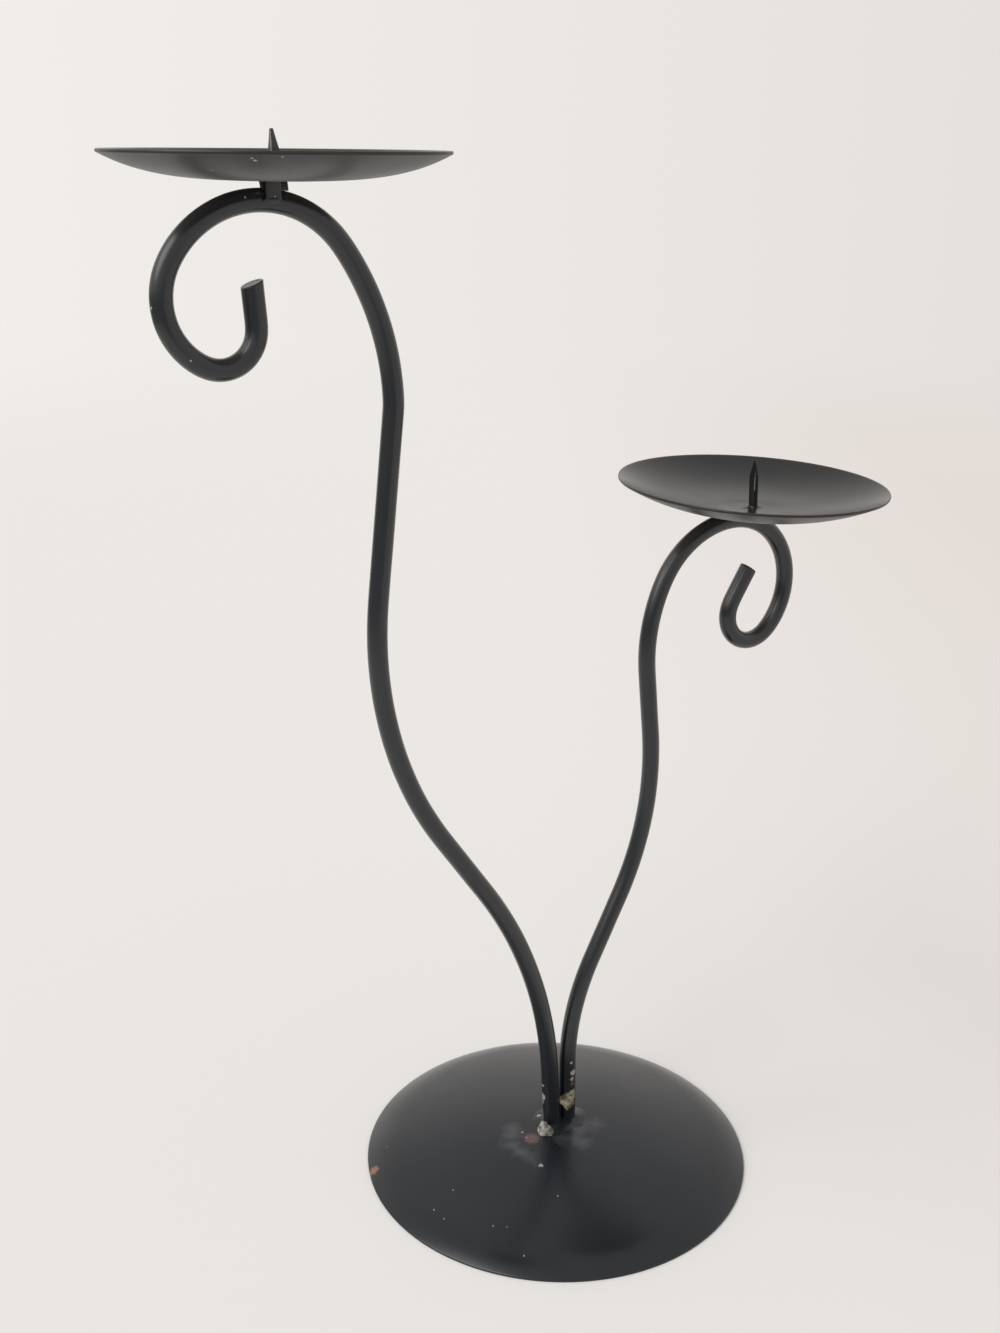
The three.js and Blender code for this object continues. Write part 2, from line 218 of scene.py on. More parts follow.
def ring_skin(rings: np.ndarray, looped: bool = False) -> Skin:
    """Joins rings of points into a closed surface.

    rings[i, j] is the surface i steps along and j steps round. Each ring closes on itself.

    Args:
        rings: the points, steps x points of a ring x 3.
        looped: True where the last ring joins the first, as on a hollow ring. Otherwise each
            end is drawn in to a pole in the middle of its ring.

    Returns:
        The surface, its faces pointing outwards.
    """
    steps, around = rings.shape[:2]
    index = np.arange(steps * around).reshape(steps, around)
    points = rings.reshape(-1, 3)
    poles = np.zeros((0, 3), int)
    if looped:
        index = np.vstack([index, index[:1]])
    else:
        ends = np.stack([rings[0].mean(axis=0), rings[-1].mean(axis=0)])
        points = np.vstack([points, ends])
        first, last = index[0], index[-1]
        foot, tip = (np.full(around, len(points) + k) for k in (-2, -1))
        poles = np.vstack(
            [
                np.stack([np.roll(first, -1), first, foot], axis=1),
                np.stack([last, np.roll(last, -1), tip], axis=1),
            ]
        )
    here, there = index[:-1], index[1:]
    quads = np.stack(
        [here, np.roll(here, -1, axis=1), np.roll(there, -1, axis=1), there], axis=-1
    ).reshape(-1, 4)
    return Skin(points, quads, poles).outward()


def eased(share: np.ndarray) -> np.ndarray:
    """Eases a share held between 0 and 1 as 3t^2 - 2t^3."""
    t = np.clip(share, 0, 1)
    return t * t * (3 - 2 * t)


def turned_rings(radius: np.ndarray, height: np.ndarray, around: int) -> np.ndarray:
    """Turns a profile about the Z axis: (r cos a, r sin a, z) for each profile point and angle.

    Args:
        radius: distance from the axis of each profile point.
        height: height of each profile point.
        around: points in a ring.

    Returns:
        The rings, profile points x around x 3.
    """
    angle = np.linspace(0, 2 * np.pi, around, endpoint=False)
    x, y = np.outer(radius, np.cos(angle)), np.outer(radius, np.sin(angle))
    return np.stack([x, y, np.broadcast_to(height[:, None], x.shape)], axis=-1)


def rounded_edge(before: tuple, corner: tuple, after: tuple, steps: int = 5) -> np.ndarray:
    """Rounds a corner as the curve (1-t)^2 before + 2t(1-t) corner + t^2 after.

    Args:
        before: point where the rounding starts.
        corner: the sharp corner.
        after: point where the rounding ends.
        steps: points on the rounding.

    Returns:
        The points, steps x 2.
    """
    t = np.linspace(0, 1, steps)[:, None]
    start, middle, end = (np.array(point) for point in (before, corner, after))
    return (1 - t) ** 2 * start + 2 * t * (1 - t) * middle + t**2 * end


@dataclass(frozen=True)
class Egg:
    """Smooth egg by its three widths."""

    size: tuple[float, float, float]

    def reach(self, way: np.ndarray) -> np.ndarray:
        """Gives its reach along unit directions w: 1 / |w / s| for its half widths s."""
        return 1 / np.linalg.norm(way / (np.array(self.size) / 2), axis=-1)


@dataclass(frozen=True)
class Chunk:
    """Angular chunk: an outline of flat sides as seen from the front, and a front and a back."""

    outline: tuple[tuple[float, float], ...]  # each side's bearing from the right, and its distance
    front: float
    back: float
    facing: float = 31.0  # degrees that its front is turned from -Y towards -X
    splay: float = 18.0  # degrees that the sides lean in to the front
    sharpness: int = 9

    def reach(self, way: np.ndarray) -> np.ndarray:
        """Gives how far the chunk reaches along unit directions.

        It is (sum of max(0, n.w / d)^s)^(-1/s) over the sides' normals n and distances d, for the
        sharpness s: the room between the flat sides, its edges worn round.

        Args:
            way: unit directions, with x, y and z on the last axis.

        Returns:
            One distance for each direction.
        """
        bearing, distance = np.array(self.outline).T
        bearing, splay, facing = (np.radians(a) for a in (bearing, self.splay, self.facing))
        right = np.array([math.cos(facing), -math.sin(facing), 0])
        near = np.array([-math.sin(facing), -math.cos(facing), 0])
        sides = np.outer(np.cos(bearing), right) + np.outer(np.sin(bearing), [0, 0, 1])
        normals = np.vstack([np.cos(splay) * sides + np.sin(splay) * near, near, -near])
        share = np.maximum(0, way @ normals.T / np.append(distance, [self.front, self.back]))
        return (share**self.sharpness).sum(axis=-1) ** (-1 / self.sharpness)


def lump_skin(
    middle: tuple,
    shape: Egg | Chunk,
    coarse: float,
    bumps: float,
    seed: int,
    hollows: float = 1.6,
    around: int = 96,
) -> Skin:
    """Makes a lump of weld.

    In the direction (sin t cos p, sin t sin p, cos t) it reaches as far as its shape does, swollen
    by layered unevenness, with its hollows cut deeper than its humps stand out.

    Args:
        middle: centre of the lump.
        shape: its shape without the unevenness.
        coarse: width of the largest humps, in millimetres.
        bumps: height of the humps, as a share of the reach.
        seed: picks the lump's own unevenness.
        hollows: depth of the hollows, as times the height of the humps.
        around: points in a ring.

    Returns:
        The lump's surface.
    """
    fall = np.linspace(0, np.pi, around // 2 + 1)[1:-1, None]
    turn = np.linspace(0, 2 * np.pi, around, endpoint=False)[None, :]
    way = np.stack(
        [np.sin(fall) * np.cos(turn), np.sin(fall) * np.sin(turn), np.cos(fall) + 0 * turn], axis=-1
    )
    bare = way * shape.reach(way)[..., None]
    wild = Unevenness(seed).layered(bare / coarse, layers=4)
    swell = 1 + bumps * np.where(wild > 0, wild, hollows * wild)
    return ring_skin(bare * swell[..., None] + np.array(middle))


# ---------------------------------------------------------------- finishes


def linear(hex_colour: str, alpha: float = 1.0) -> tuple[float, float, float, float]:
    """Turns an sRGB hex colour into a linear one.

    Args:
        hex_colour: such as "#1c1d1f".
        alpha: its alpha.

    Returns:
        Red, green, blue and alpha, each from 0 to 1.
    """
    channels = [int(hex_colour[i : i + 2], 16) / 255 for i in (1, 3, 5)]
    red, green, blue = (
        c / 12.92 if c <= 0.04045 else ((c + 0.055) / 1.055) ** 2.4 for c in channels
    )
    return red, green, blue, alpha


def add_node(
    tree: bpy.types.NodeTree,
    kind: str,
    settings: dict[str, Any] | None = None,
    inputs: dict[str | int, Any] | None = None,
) -> bpy.types.Node:
    """Adds a node with its settings, values and links.

    Args:
        tree: the node tree.
        kind: the node's type.
        settings: the node's own fields.
        inputs: for an input, by name or number, its value or the output that it is linked to.

    Returns:
        The node.
    """
    node = tree.nodes.new(kind)
    for name, value in (settings or {}).items():
        setattr(node, name, value)
    for socket, value in (inputs or {}).items():
        if isinstance(value, bpy.types.NodeSocket):
            tree.links.new(value, node.inputs[socket])
        else:
            node.inputs[socket].default_value = value
    return node


def empty_material(name: str) -> tuple[bpy.types.Material, bpy.types.NodeTree]:
    """Starts a material.

    Args:
        name: its name.

    Returns:
        The material and its node tree, with no nodes yet.
    """
    material = bpy.data.materials.new(name)
    material.use_nodes = True
    material.node_tree.nodes.clear()
    return material, material.node_tree


@dataclass(frozen=True)
class MarkedSpot:
    """A place where the enamel is marked, from the base, and how far the mark reaches."""

    mark: Mark
    place: tuple[float, float, float]
    reach: float
    stretch: float = 1.0  # times as tall as wide, for a streak down an edge: worn enamel with a painted highlight of the ridge


@dataclass(frozen=True)
class SatinEnamel:
    """Satin black enamel, sprayed on steel and air dried.

    To the eye it is a near-black with a soft, slightly pulled sheen: a faint orange peel, dull
    patches from handling, a paler grey mixed in on what faces up, and chips where it was knocked.
    """

    name: str
    deep: str  # colour where it is least handled
    thin: str  # colour where it is most handled
    gloss: float  # roughness where it is most handled
    dull: float  # roughness where it is least handled
    coat: float = 0.2
    polish: float = 0.0  # how much smoother upward faces are, where candles have waxed them
    upward_pale: float = 0.0  # cover of the pale grey that lightens upward faces
    spots: tuple[MarkedSpot, ...] = ()

    UPWARD_PALE_TONE = "#a89e92"
    PATCH = 26.0  # width of the patches of handling, in mm
    PEEL = 1.6  # orange peel; the real one is about 0.8 mm and is drawn coarser to show
    SMOKE = 5.0  # grain of the greyed smears: those that a weld's heat leaves, and the painted highlight on the tall spike's point
    GRIT = 0.55  # grain of the ragged edge of a chip
    HANDLED = (0.3, 0.72)  # the patches' noise where the enamel is least and most handled
    RELIEF = 0.05  # depth of the peel and of a chip, in mm
    RAGGED = 1.3  # how far the grain pushes the edge of a mark about
    UPWARD = (0.1, 0.9)  # upward share of the normal where the paler grey and polish start and are full
    BUMP = 0.3  # how strongly the relief shows
    COAT_ROUGHNESS = 0.18
    IOR = 1.5

    def material(self, axis_x: float) -> bpy.types.Material:
        """Makes the enamel.

        Args:
            axis_x: x of the base's axis, which the worn spots are measured from.

        Returns:
            The material.
        """
        material, tree = empty_material(self.name)
        own = add_node(tree, "ShaderNodeTexCoord").outputs
        place = add_node(
            tree,
            "ShaderNodeMapping",
            {"vector_type": "TEXTURE"},
            {0: own["Object"], "Location": (axis_x * MM, 0, 0)},
        ).outputs[0]
        patches, peel, smoke, grit = (
            add_node(
                tree,
                "ShaderNodeTexNoise",
                inputs={"Vector": place, "Scale": 1 / (grain * MM), "Detail": detail},
            ).outputs[0]
            for grain, detail in (
                (self.PATCH, 3.0),
                (self.PEEL, 1.0),
                (self.SMOKE, 4.0),
                (self.GRIT, 3.0),
            )
        )
        low, high = self.HANDLED
        handled, roughness = (
            add_node(
                tree, "ShaderNodeMapRange", inputs={0: patches, 1: low, 2: high, 3: start, 4: end}
            ).outputs[0]
            for start, end in ((0.0, 1.0), (self.dull, self.gloss))
        )
        colour = add_node(
            tree,
            "ShaderNodeMix",
            COLOURS,
            {0: handled, 6: linear(self.deep), 7: linear(self.thin)},
        ).outputs[2]
        facing = add_node(tree, "ShaderNodeSeparateXYZ", inputs={0: own["Normal"]}).outputs["Z"]
        start, full = self.UPWARD
        upward_pale, polished = (
            add_node(
                tree, "ShaderNodeMapRange", SMOOTH, {0: facing, 1: start, 2: full, 4: cover}
            ).outputs[0]
            for cover in (self.upward_pale, self.polish)
        )
        roughness = add_node(
            tree, "ShaderNodeMath", {"operation": "SUBTRACT"}, {0: roughness, 1: polished}
        ).outputs[0]
        # lightens the colour with a pale grey on faces that point up
        colour = add_node(
            tree, "ShaderNodeMix", COLOURS, {0: upward_pale, 6: colour, 7: linear(self.UPWARD_PALE_TONE)}
        ).outputs[2]
        relief = peel
        for mark in Mark:
            gone = self.worn(tree, place, smoke if mark is Mark.SCORCH_AND_SHEEN else grit, mark)
            if gone:
                colour = add_node(
                    tree, "ShaderNodeMix", COLOURS, {0: gone, 6: colour, 7: linear(mark.tone)}
                ).outputs[2]
                relief = add_node(
                    tree, "ShaderNodeMath", {"operation": "SUBTRACT"}, {0: relief, 1: gone}
                ).outputs[0]
        bump = add_node(
            tree,
            "ShaderNodeBump",
            inputs={"Strength": self.BUMP, "Distance": self.RELIEF * MM, "Height": relief},
        )
        shader = add_node(
            tree,
            "ShaderNodeBsdfPrincipled",
            inputs={
                "Base Color": colour,
                "Roughness": roughness,
                "Normal": bump.outputs[0],
                "IOR": self.IOR,
                "Coat Weight": self.coat,
                "Coat Roughness": self.COAT_ROUGHNESS,
            },
        )
        add_node(tree, "ShaderNodeOutputMaterial", inputs={"Surface": shader.outputs[0]})
        return material

    def worn(
        self,
        tree: bpy.types.NodeTree,
        place: bpy.types.NodeSocket,
        grain: bpy.types.NodeSocket,
        mark: Mark,
    ) -> bpy.types.NodeSocket | None:
        """Gives how much of the enamel one kind of mark hides.

        A spot's share falls from 1 in its middle to 0 at its reach; the largest share of all spots,
        made ragged by a noise, is hidden where it passes 1.

        Args:
            tree: the node tree.
            place: the coordinates, from the base.
            grain: the noise that makes the edges ragged.
            mark: the kind of mark.

        Returns:
            The cover, or None where the finish has no such mark.
        """
        worst = None
        for spot in (s for s in self.spots if s.mark is mark):
            away = add_node(
                tree,
                "ShaderNodeVectorMath",
                {"operation": "SUBTRACT"},
                {0: place, 1: tuple(v * MM for v in spot.place)},
            ).outputs[0]
            away = add_node(
                tree,
                "ShaderNodeVectorMath",
                {"operation": "MULTIPLY"},
                {0: away, 1: (1, 1, 1 / spot.stretch)},
            ).outputs[0]
            far = add_node(
                tree, "ShaderNodeVectorMath", {"operation": "LENGTH"}, {0: away}
            ).outputs["Value"]
            share = add_node(
                tree, "ShaderNodeMapRange", inputs={0: far, 2: spot.reach * MM, 3: 1.0, 4: 0.0}
            ).outputs[0]
            worst = add_node(
                tree, "ShaderNodeMath", {"operation": "MAXIMUM"}, {0: worst or 0.0, 1: share}
            ).outputs[0]
        if worst is None:
            return None
        ragged = add_node(
            tree,
            "ShaderNodeMath",
            {"operation": "MULTIPLY_ADD"},
            {0: grain, 1: self.RAGGED, 2: worst},
        ).outputs[0]
        return add_node(
            tree, "ShaderNodeMapRange", inputs={0: ragged, 1: 1.0, 2: 1 + mark.fade, 4: mark.cover}
        ).outputs[0]


@dataclass(frozen=True)
class RawWeld:
    """Bare arc weld with its slag left on, never painted or chipped clean since.

    To the eye it is a pale ash grey crust, chalky and coarse, with brown in its hollows.
    """

    name: str
    crust: str
    body: str
    hollow: str

    CRUST_GRAIN = 2.2  # width of the crust's grains, in mm
    PIT_GRAIN = 0.9
    RELIEF = 0.2  # depth of the pits, in mm
    TONES = (0.34, 0.45, 0.62)  # the grains' noise at the tones of hollow, body and crust
    PIT_SHARE = 0.5  # height of the pits, as a share of the grains'
    BUMP = 0.6  # how strongly the relief shows
    ROUGHNESS = 0.78
    IOR = 1.5

    def material(self) -> bpy.types.Material:
        """Makes the raw weld.

        Returns:
            The material: three tones over grains, with pits.
        """
        material, tree = empty_material(self.name)
        own = add_node(tree, "ShaderNodeTexCoord").outputs["Object"]
        grains = add_node(
            tree,
            "ShaderNodeTexNoise",
            inputs={"Vector": own, "Scale": 1 / (self.CRUST_GRAIN * MM), "Detail": 4.0},
        ).outputs[0]
        pits = add_node(
            tree,
            "ShaderNodeTexVoronoi",
            inputs={"Vector": own, "Scale": 1 / (self.PIT_GRAIN * MM)},
        ).outputs["Distance"]
        tones = add_node(tree, "ShaderNodeValToRGB", inputs={0: grains})
        stops = tones.color_ramp.elements
        stops[0].position, stops[0].color = self.TONES[0], linear(self.hollow)
        stops[1].position, stops[1].color = self.TONES[2], linear(self.crust)
        stops.new(self.TONES[1]).color = linear(self.body)
        relief = add_node(
            tree,
            "ShaderNodeMath",
            {"operation": "MULTIPLY_ADD"},
            {0: pits, 1: self.PIT_SHARE, 2: grains},
        ).outputs[0]
        bump = add_node(
            tree,
            "ShaderNodeBump",
            inputs={"Strength": self.BUMP, "Distance": self.RELIEF * MM, "Height": relief},
        )
        shader = add_node(
            tree,
            "ShaderNodeBsdfPrincipled",
            inputs={
                "Base Color": tones.outputs[0],
                "Roughness": self.ROUGHNESS,
                "Normal": bump.outputs[0],
                "IOR": self.IOR,
            },
        )
        add_node(tree, "ShaderNodeOutputMaterial", inputs={"Surface": shader.outputs[0]})
        return material


def link_object(name: str, data: bpy.types.ID) -> bpy.types.Object:
    """Puts an object into the scene.

    Args:
        name: its name.
        data: its mesh, lamp or camera.

    Returns:
        The object.
    """
    thing = bpy.data.objects.new(name, data)
    bpy.context.scene.collection.objects.link(thing)
    return thing


def make_piece(
    name: str, skin: Skin, material: bpy.types.Material, slot: Slot, *nodes: str
) -> bpy.types.Object:
    """Makes a piece of the stand and puts it in the place of its solids.

    Args:
        name: the piece's name.
        skin: its surface.
        material: its finish.
        slot: the record's material slot; not used.
        *nodes: the solids that it stands for.

    Returns:
        The piece.
    """
    mesh = bpy.data.meshes.new(name)
    faces = skin.quads.tolist() + skin.triangles.tolist()
    mesh.from_pydata((skin.points * MM).tolist(), [], faces)
    mesh.polygons.foreach_set("use_smooth", np.ones(len(faces), bool))
    mesh.materials.append(material)
    mesh.update()
    piece = link_object(name, mesh)
    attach(piece, "root")
    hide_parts(*nodes)
    log.info("%s: %d points, stands for %s", name, len(skin.points), ", ".join(nodes))
    return piece


# ---------------------------------------------------------------- base


@dataclass
class SpunBase:
    """Base of spun sheet: part of a sphere, rolled down to the cut edge that it stands on."""

    diameter: float = 151.5
    rise: float = 14.0
    sheet: float = 1.2
    edge: float = 0.7  # height of the plain cut edge
    rim_roll: float = 13.0  # width of the band by the rim that turns down more steeply
    rim_drop: float = 2.0
    roll_power: float = 2.5
    edge_round: float = 0.3
    foot_round: float = 0.6  # rounding of the lower edge, as a share of the upper one's
    crowding: float = 1.5  # power that crowds the rings towards the rim
    warp: float = 0.12  # how far the sheet wanders from true, over the width of a wave
    wave: float = 28.0
    held: float = 12.0  # width of the band by the rim that stays true, as it stands on the table
    around: int = 288
    steps: int = 90

    @property
    def sphere(self) -> float:
        """Radius of the sphere: (r^2 + h^2) / 2h for the dome's radius and the sphere's height."""
        height = self.rise - self.edge - self.rim_drop
        return ((self.diameter / 2) ** 2 + height**2) / (2 * height)

    def height(self, distance: np.ndarray) -> np.ndarray:
        """Gives the height of the dome off its axis.

        It is the sphere's, less drop u^p in the band by the rim, where u runs from 0 to 1 and p is
        the roll's power.

        Args:
            distance: distances from the axis.

        Returns:
            One height for each distance.
        """
        rolled = np.maximum(0, (distance - self.diameter / 2 + self.rim_roll) / self.rim_roll)
        ball = self.rise - self.sphere + np.sqrt(self.sphere**2 - distance**2)
        return ball - self.rim_drop * rolled**self.roll_power

    def skin(self) -> Skin:
        """Turns the sheet's section: outside, rounded cut edge, land and inside.

        Returns:
            The base's surface, about its axis.
        """
        rim = self.diameter / 2
        even = np.linspace(0, 1, self.steps + 1)[:0:-1]
        top = rim - (rim - self.edge_round) * even**self.crowding
        top = np.append(top[top < rim - self.edge_round], rim - self.edge_round)
        hollow = np.linspace(rim, 0, self.steps + 1)
        above = self.height(hollow)
        under = above - self.sheet * np.hypot(1, np.gradient(above, hollow))
        land = float(np.interp(0, under, hollow))
        inside = hollow < land
        low = self.edge_round * self.foot_round
        shoulder = (top[-1], float(self.height(top[-1])))
        profile = np.vstack(
            [
                np.column_stack([top, self.height(top)]),
                rounded_edge(shoulder, (rim, self.edge), (rim, self.edge - self.edge_round))[1:],
                rounded_edge((rim, low), (rim, 0), (rim - low, 0)),
                [[land, 0]],
                np.column_stack([hollow[inside], under[inside]])[:-1],
            ]
        )
        rings = turned_rings(profile[:, 0], profile[:, 1], self.around)
        flat = rings * np.array([1, 1, 0])
        loose = eased((rim - profile[:, 0]) / self.held)[:, None]
        rings[..., 2] += self.warp * loose * Unevenness(seed=5).at(flat / self.wave)
        rings[..., 2] = np.maximum(rings[..., 2], 0)
        return ring_skin(rings)

    def build(self, finish: SatinEnamel, axis_x: float) -> None:
        """Makes the base about its axis."""
        skin = self.skin().placed(np.eye(3), np.array([axis_x, 0, 0]))
        make_piece("spun_base", skin, finish.material(axis_x), Slot.BASE, "base_dome")


# ---------------------------------------------------------------- bars


@dataclass(frozen=True)
class Straight:
    """A straight stretch of bar."""

    length: float
    curvature: float = 0.0


@dataclass(frozen=True)
class Bend:
    """A bent stretch of bar; a positive turn, in degrees, bends it the way its arm leans."""

    radius: float
    turn: float

    @property
    def length(self) -> float:
        """Length along the bar's axis."""
        return self.radius * abs(math.radians(self.turn))

    @property
    def curvature(self) -> float:
        """Turn per millimetre, in radians."""
        return math.copysign(1 / self.radius, self.turn)


@dataclass
class CentreLine:
    """A bar's axis: points and unit tangents along it, and its crown, where it runs level."""

    points: np.ndarray
    tangents: np.ndarray
    crown: np.ndarray


@dataclass
class BentBar:
    """Round bar, bent cold round formers from its foot to its scroll, sheared off at the tip."""

    lean: Lean
    diameter: float
    foot_lean: float
    tip_cut: float  # degrees that the sheared end is off square
    run: tuple[Straight | Bend, ...]
    foot_x: float = 0.0  # from the base
    foot_z: float = 14.3
    buried: float = 0.9  # how far the foot reaches down into the weld
    edge_round: float = 0.35
    spring: float = 2.0  # length over which one bend eases into the next
    cut_run: float = 9.0  # last stretch, over which the rings turn to the sheared face
    forging: float = 0.008  # unevenness of the radius, as a share
    forging_wave: float = 9.0
    tear: float = 0.14  # unevenness of the sheared face
    tear_grain: float = 1.1
    station: float = 0.8  # step along the axis
    around: int = 40

    @property
    def radius(self) -> float:
        """Half the diameter."""
        return self.diameter / 2

    def centre_line(self) -> CentreLine:
        """Lays out the bar's axis.

        Over each step the heading grows by the curvature times the step, and the axis moves by the
        chord, the step times sin(h)/h of half the turn, along the heading halfway through. A bell
        curve then eases each bend into the next.

        Returns:
            The axis, in the stand's frame with the base at x = 0.
        """
        counts = [math.ceil(s.length / self.station) for s in self.run]
        step = np.concatenate([np.full(n, s.length / n) for n, s in zip(counts, self.run)])
        turn = step * np.concatenate([np.full(n, s.curvature) for n, s in zip(counts, self.run)])
        heading = math.radians(self.foot_lean) + np.concatenate([[0], np.cumsum(turn)])
        aim = heading[:-1] + turn / 2
        chord = step * np.sinc(turn / 2 / np.pi)
        moves = np.stack([self.lean.value * chord * np.sin(aim), chord * np.cos(aim)], axis=1)
        plane = np.vstack([[0, 0], np.cumsum(moves, axis=0)]) + [self.foot_x, self.foot_z]
        level = int(np.argmax(heading >= np.pi / 2))
        share = (np.pi / 2 - heading[level - 1]) / (heading[level] - heading[level - 1])
        crown = plane[level - 1] + share * (plane[level] - plane[level - 1])
        reach = math.ceil(3 * self.spring / self.station)
        bell = np.exp(-0.5 * (np.arange(-reach, reach + 1) * self.station / self.spring) ** 2)
        padded = np.pad(plane, ((reach, reach), (0, 0)), mode="reflect", reflect_type="odd")
        smooth = np.stack(
            [np.convolve(padded[:, k], bell / bell.sum(), mode="valid") for k in (0, 1)], axis=1
        )
        points = np.insert(smooth, 1, 0, axis=1)
        tangents = np.gradient(points, axis=0)
        tangents /= np.linalg.norm(tangents, axis=1, keepdims=True)
        return CentreLine(points, tangents, np.array([crown[0], 0, crown[1]]))

    def skin(self, line: CentreLine) -> Skin:
        """Carries the round section along the axis and closes it with the sheared face.

        A point is axis + r (cos a times the in-plane normal + sin a times Y) + s times the tangent.
        The shift s is 0 along the bar and rises, over the last stretch, to the slant of the sheared
        plane. Past the end the rings shrink: round the edge first, then over the face.

        Args:
            line: the bar's axis.

        Returns:
            The bar's surface.
        """
        rounding = np.radians(np.linspace(0, 90, 6)[1:])
        lip = self.radius - self.edge_round
        face = np.linspace(lip, 0, 9)[1:-1]
        radius = np.concatenate(
            [np.full(len(line.points), self.radius), lip + self.edge_round * np.cos(rounding), face]
        )
        setback = np.concatenate(
            [
                np.full(len(line.points), -self.edge_round),
                self.edge_round * (np.sin(rounding) - 1),
                np.zeros(len(face)),
            ]
        )
        last = len(line.points) - 1
        station = np.minimum(np.arange(len(radius)), last)
        centre, tangent = line.points[station], line.tangents[station]
        normal = np.cross([0, 1, 0], tangent)
        angle = np.linspace(0, 2 * np.pi, self.around, endpoint=False)
        along = np.stack([centre / self.forging_wave] * self.around, axis=1)
        hand = Unevenness(seed=11).at(along + angle[:, None] / 2)
        reach = radius[:, None] * (1 + self.forging * hand)
        across, sideways = reach * np.cos(angle), reach * np.sin(angle)
        cut = math.radians(self.tip_cut)
        slant = self.radius * math.tan(cut) + across * self.lean.value * math.sin(cut)
        near_tip = (1 - np.clip((last - station) * self.station / self.cut_run, 0, 1)) ** 2
        slide = near_tip[:, None] * (setback[:, None] - slant / math.cos(cut))
        torn = np.where(radius < lip, self.tear, 0.0)[:, None]
        spread = np.stack([across, sideways, slide], axis=-1)
        slide += torn * Unevenness(seed=3).layered(spread / self.tear_grain, layers=2)
        slide[0] -= self.buried
        rings = (
            centre[:, None]
            + across[..., None] * normal[:, None]
            + sideways[..., None] * np.array([0, 1, 0])
            + slide[..., None] * tangent[:, None]
        )
        return ring_skin(rings)


# ---------------------------------------------------------------- spikes and dishes


@dataclass
class FoldedSpike:
    """Strip of sheet, flat at its foot on the bar, folded lengthwise and cut to a point above."""

    left_wing: float
    right_wing: float
    left_fold: float
    right_fold: float
    height: float  # above the dish's seat
    point: float  # height of the cut to the point
    shift: float  # of the strip's middle from the dish's, along X
    sheet: float = 0.8
    fold_run: float = 1.1  # length over which it folds, where it passes through the dish
    clearance: float = 0.3
    point_width: float = 0.4
    point_bulge: float = 1.3
    lean: float = 0.0  # sideways towards +X for each millimetre up
    wear: float = 0.05  # unevenness of the sides
    wear_grain: float = 2.2
    thin_point: float = 0.8  # greatest thickness, as a share of the narrower wing
    rounding: float = 0.36  # share of the shortest side that an edge's rounding takes
    cut_back: float = 0.3  # how far an edge is cut back, as a share of its rounding
    steps: int = 120

    def corners(self, z: np.ndarray, seat_z: float) -> np.ndarray:
        """Gives the strip's section at each height.

        From the fold line each wing runs out by its width along (cos f, sin f), where f is its
        fold, eased in over the fold's run. Above the shoulder a wing's width falls as
        end + (full - end)(1 - (1 - d)^b) with the share d down from the tip.

        Args:
            z: heights above the strip's foot.
            seat_z: height of the dish's seat above the strip's foot.

        Returns:
            Six corners, heights x 6 x 2.
        """
        flat = seat_z - self.fold_run
        tip = seat_z + self.height
        shoulder = tip - self.point
        fold = eased((z - flat) / self.fold_run)[:, None]
        left_swing, right_swing = (
            math.radians(most) * fold for most in (self.left_fold, self.right_fold)
        )
        share = 1 - (1 - np.clip((tip - z) / (tip - shoulder), 0, 1)) ** self.point_bulge
        left, right = (
            (self.point_width + (w - self.point_width) * share)[:, None]
            for w in (self.left_wing, self.right_wing)
        )
        sheet = np.minimum(self.sheet, self.thin_point * np.minimum(left, right))
        out_right = np.hstack([np.cos(right_swing), np.sin(right_swing)])
        out_left = np.hstack([-np.cos(left_swing), np.sin(left_swing)])
        back_right = out_right[:, ::-1] * [-1, 1]
        back_left = out_left[:, ::-1] * [1, -1]
        valley = back_right + back_left
        valley /= np.linalg.norm(valley, axis=1, keepdims=True)
        valley *= sheet / np.cos((left_swing + right_swing) / 2)
        return np.stack(
            [
                0 * out_right,
                out_right * right,
                out_right * right + back_right * sheet,
                valley,
                out_left * left + back_left * sheet,
                out_left * left,
            ],
            axis=1,
        )

    def skin(self, seat_z: float) -> Skin:
        """Lofts the strip upwards, its sheared edges a little rounded.

        Args:
            seat_z: height of the dish's seat above the strip's foot.

        Returns:
            The strip, its fold line on the Z axis, its front at y = 0 and its foot at z = 0.
        """
        z = np.linspace(0, seat_z + self.height, self.steps)
        corners = self.corners(z, seat_z)
        ahead = np.roll(corners, -1, axis=1) - corners
        length = np.linalg.norm(ahead, axis=2, keepdims=True)
        ahead = ahead / length
        behind = np.roll(ahead, 1, axis=1)
        ease = self.rounding * length.min(axis=(1, 2))[:, None, None]
        middle = corners + self.cut_back * ease * (ahead - behind)
        rounded = np.stack([corners - ease * behind, middle, corners + ease * ahead], axis=2)
        rounded = rounded.reshape(len(z), -1, 2)
        rings = np.dstack([rounded, np.broadcast_to(z[:, None], rounded.shape[:2])])
        rings[..., 0] += self.lean * rings[..., 2]
        worn = Unevenness(seed=8).at(rings / self.wear_grain)
        rings += self.wear * worn[..., None] * [1, 1, 0]
        return ring_skin(rings)


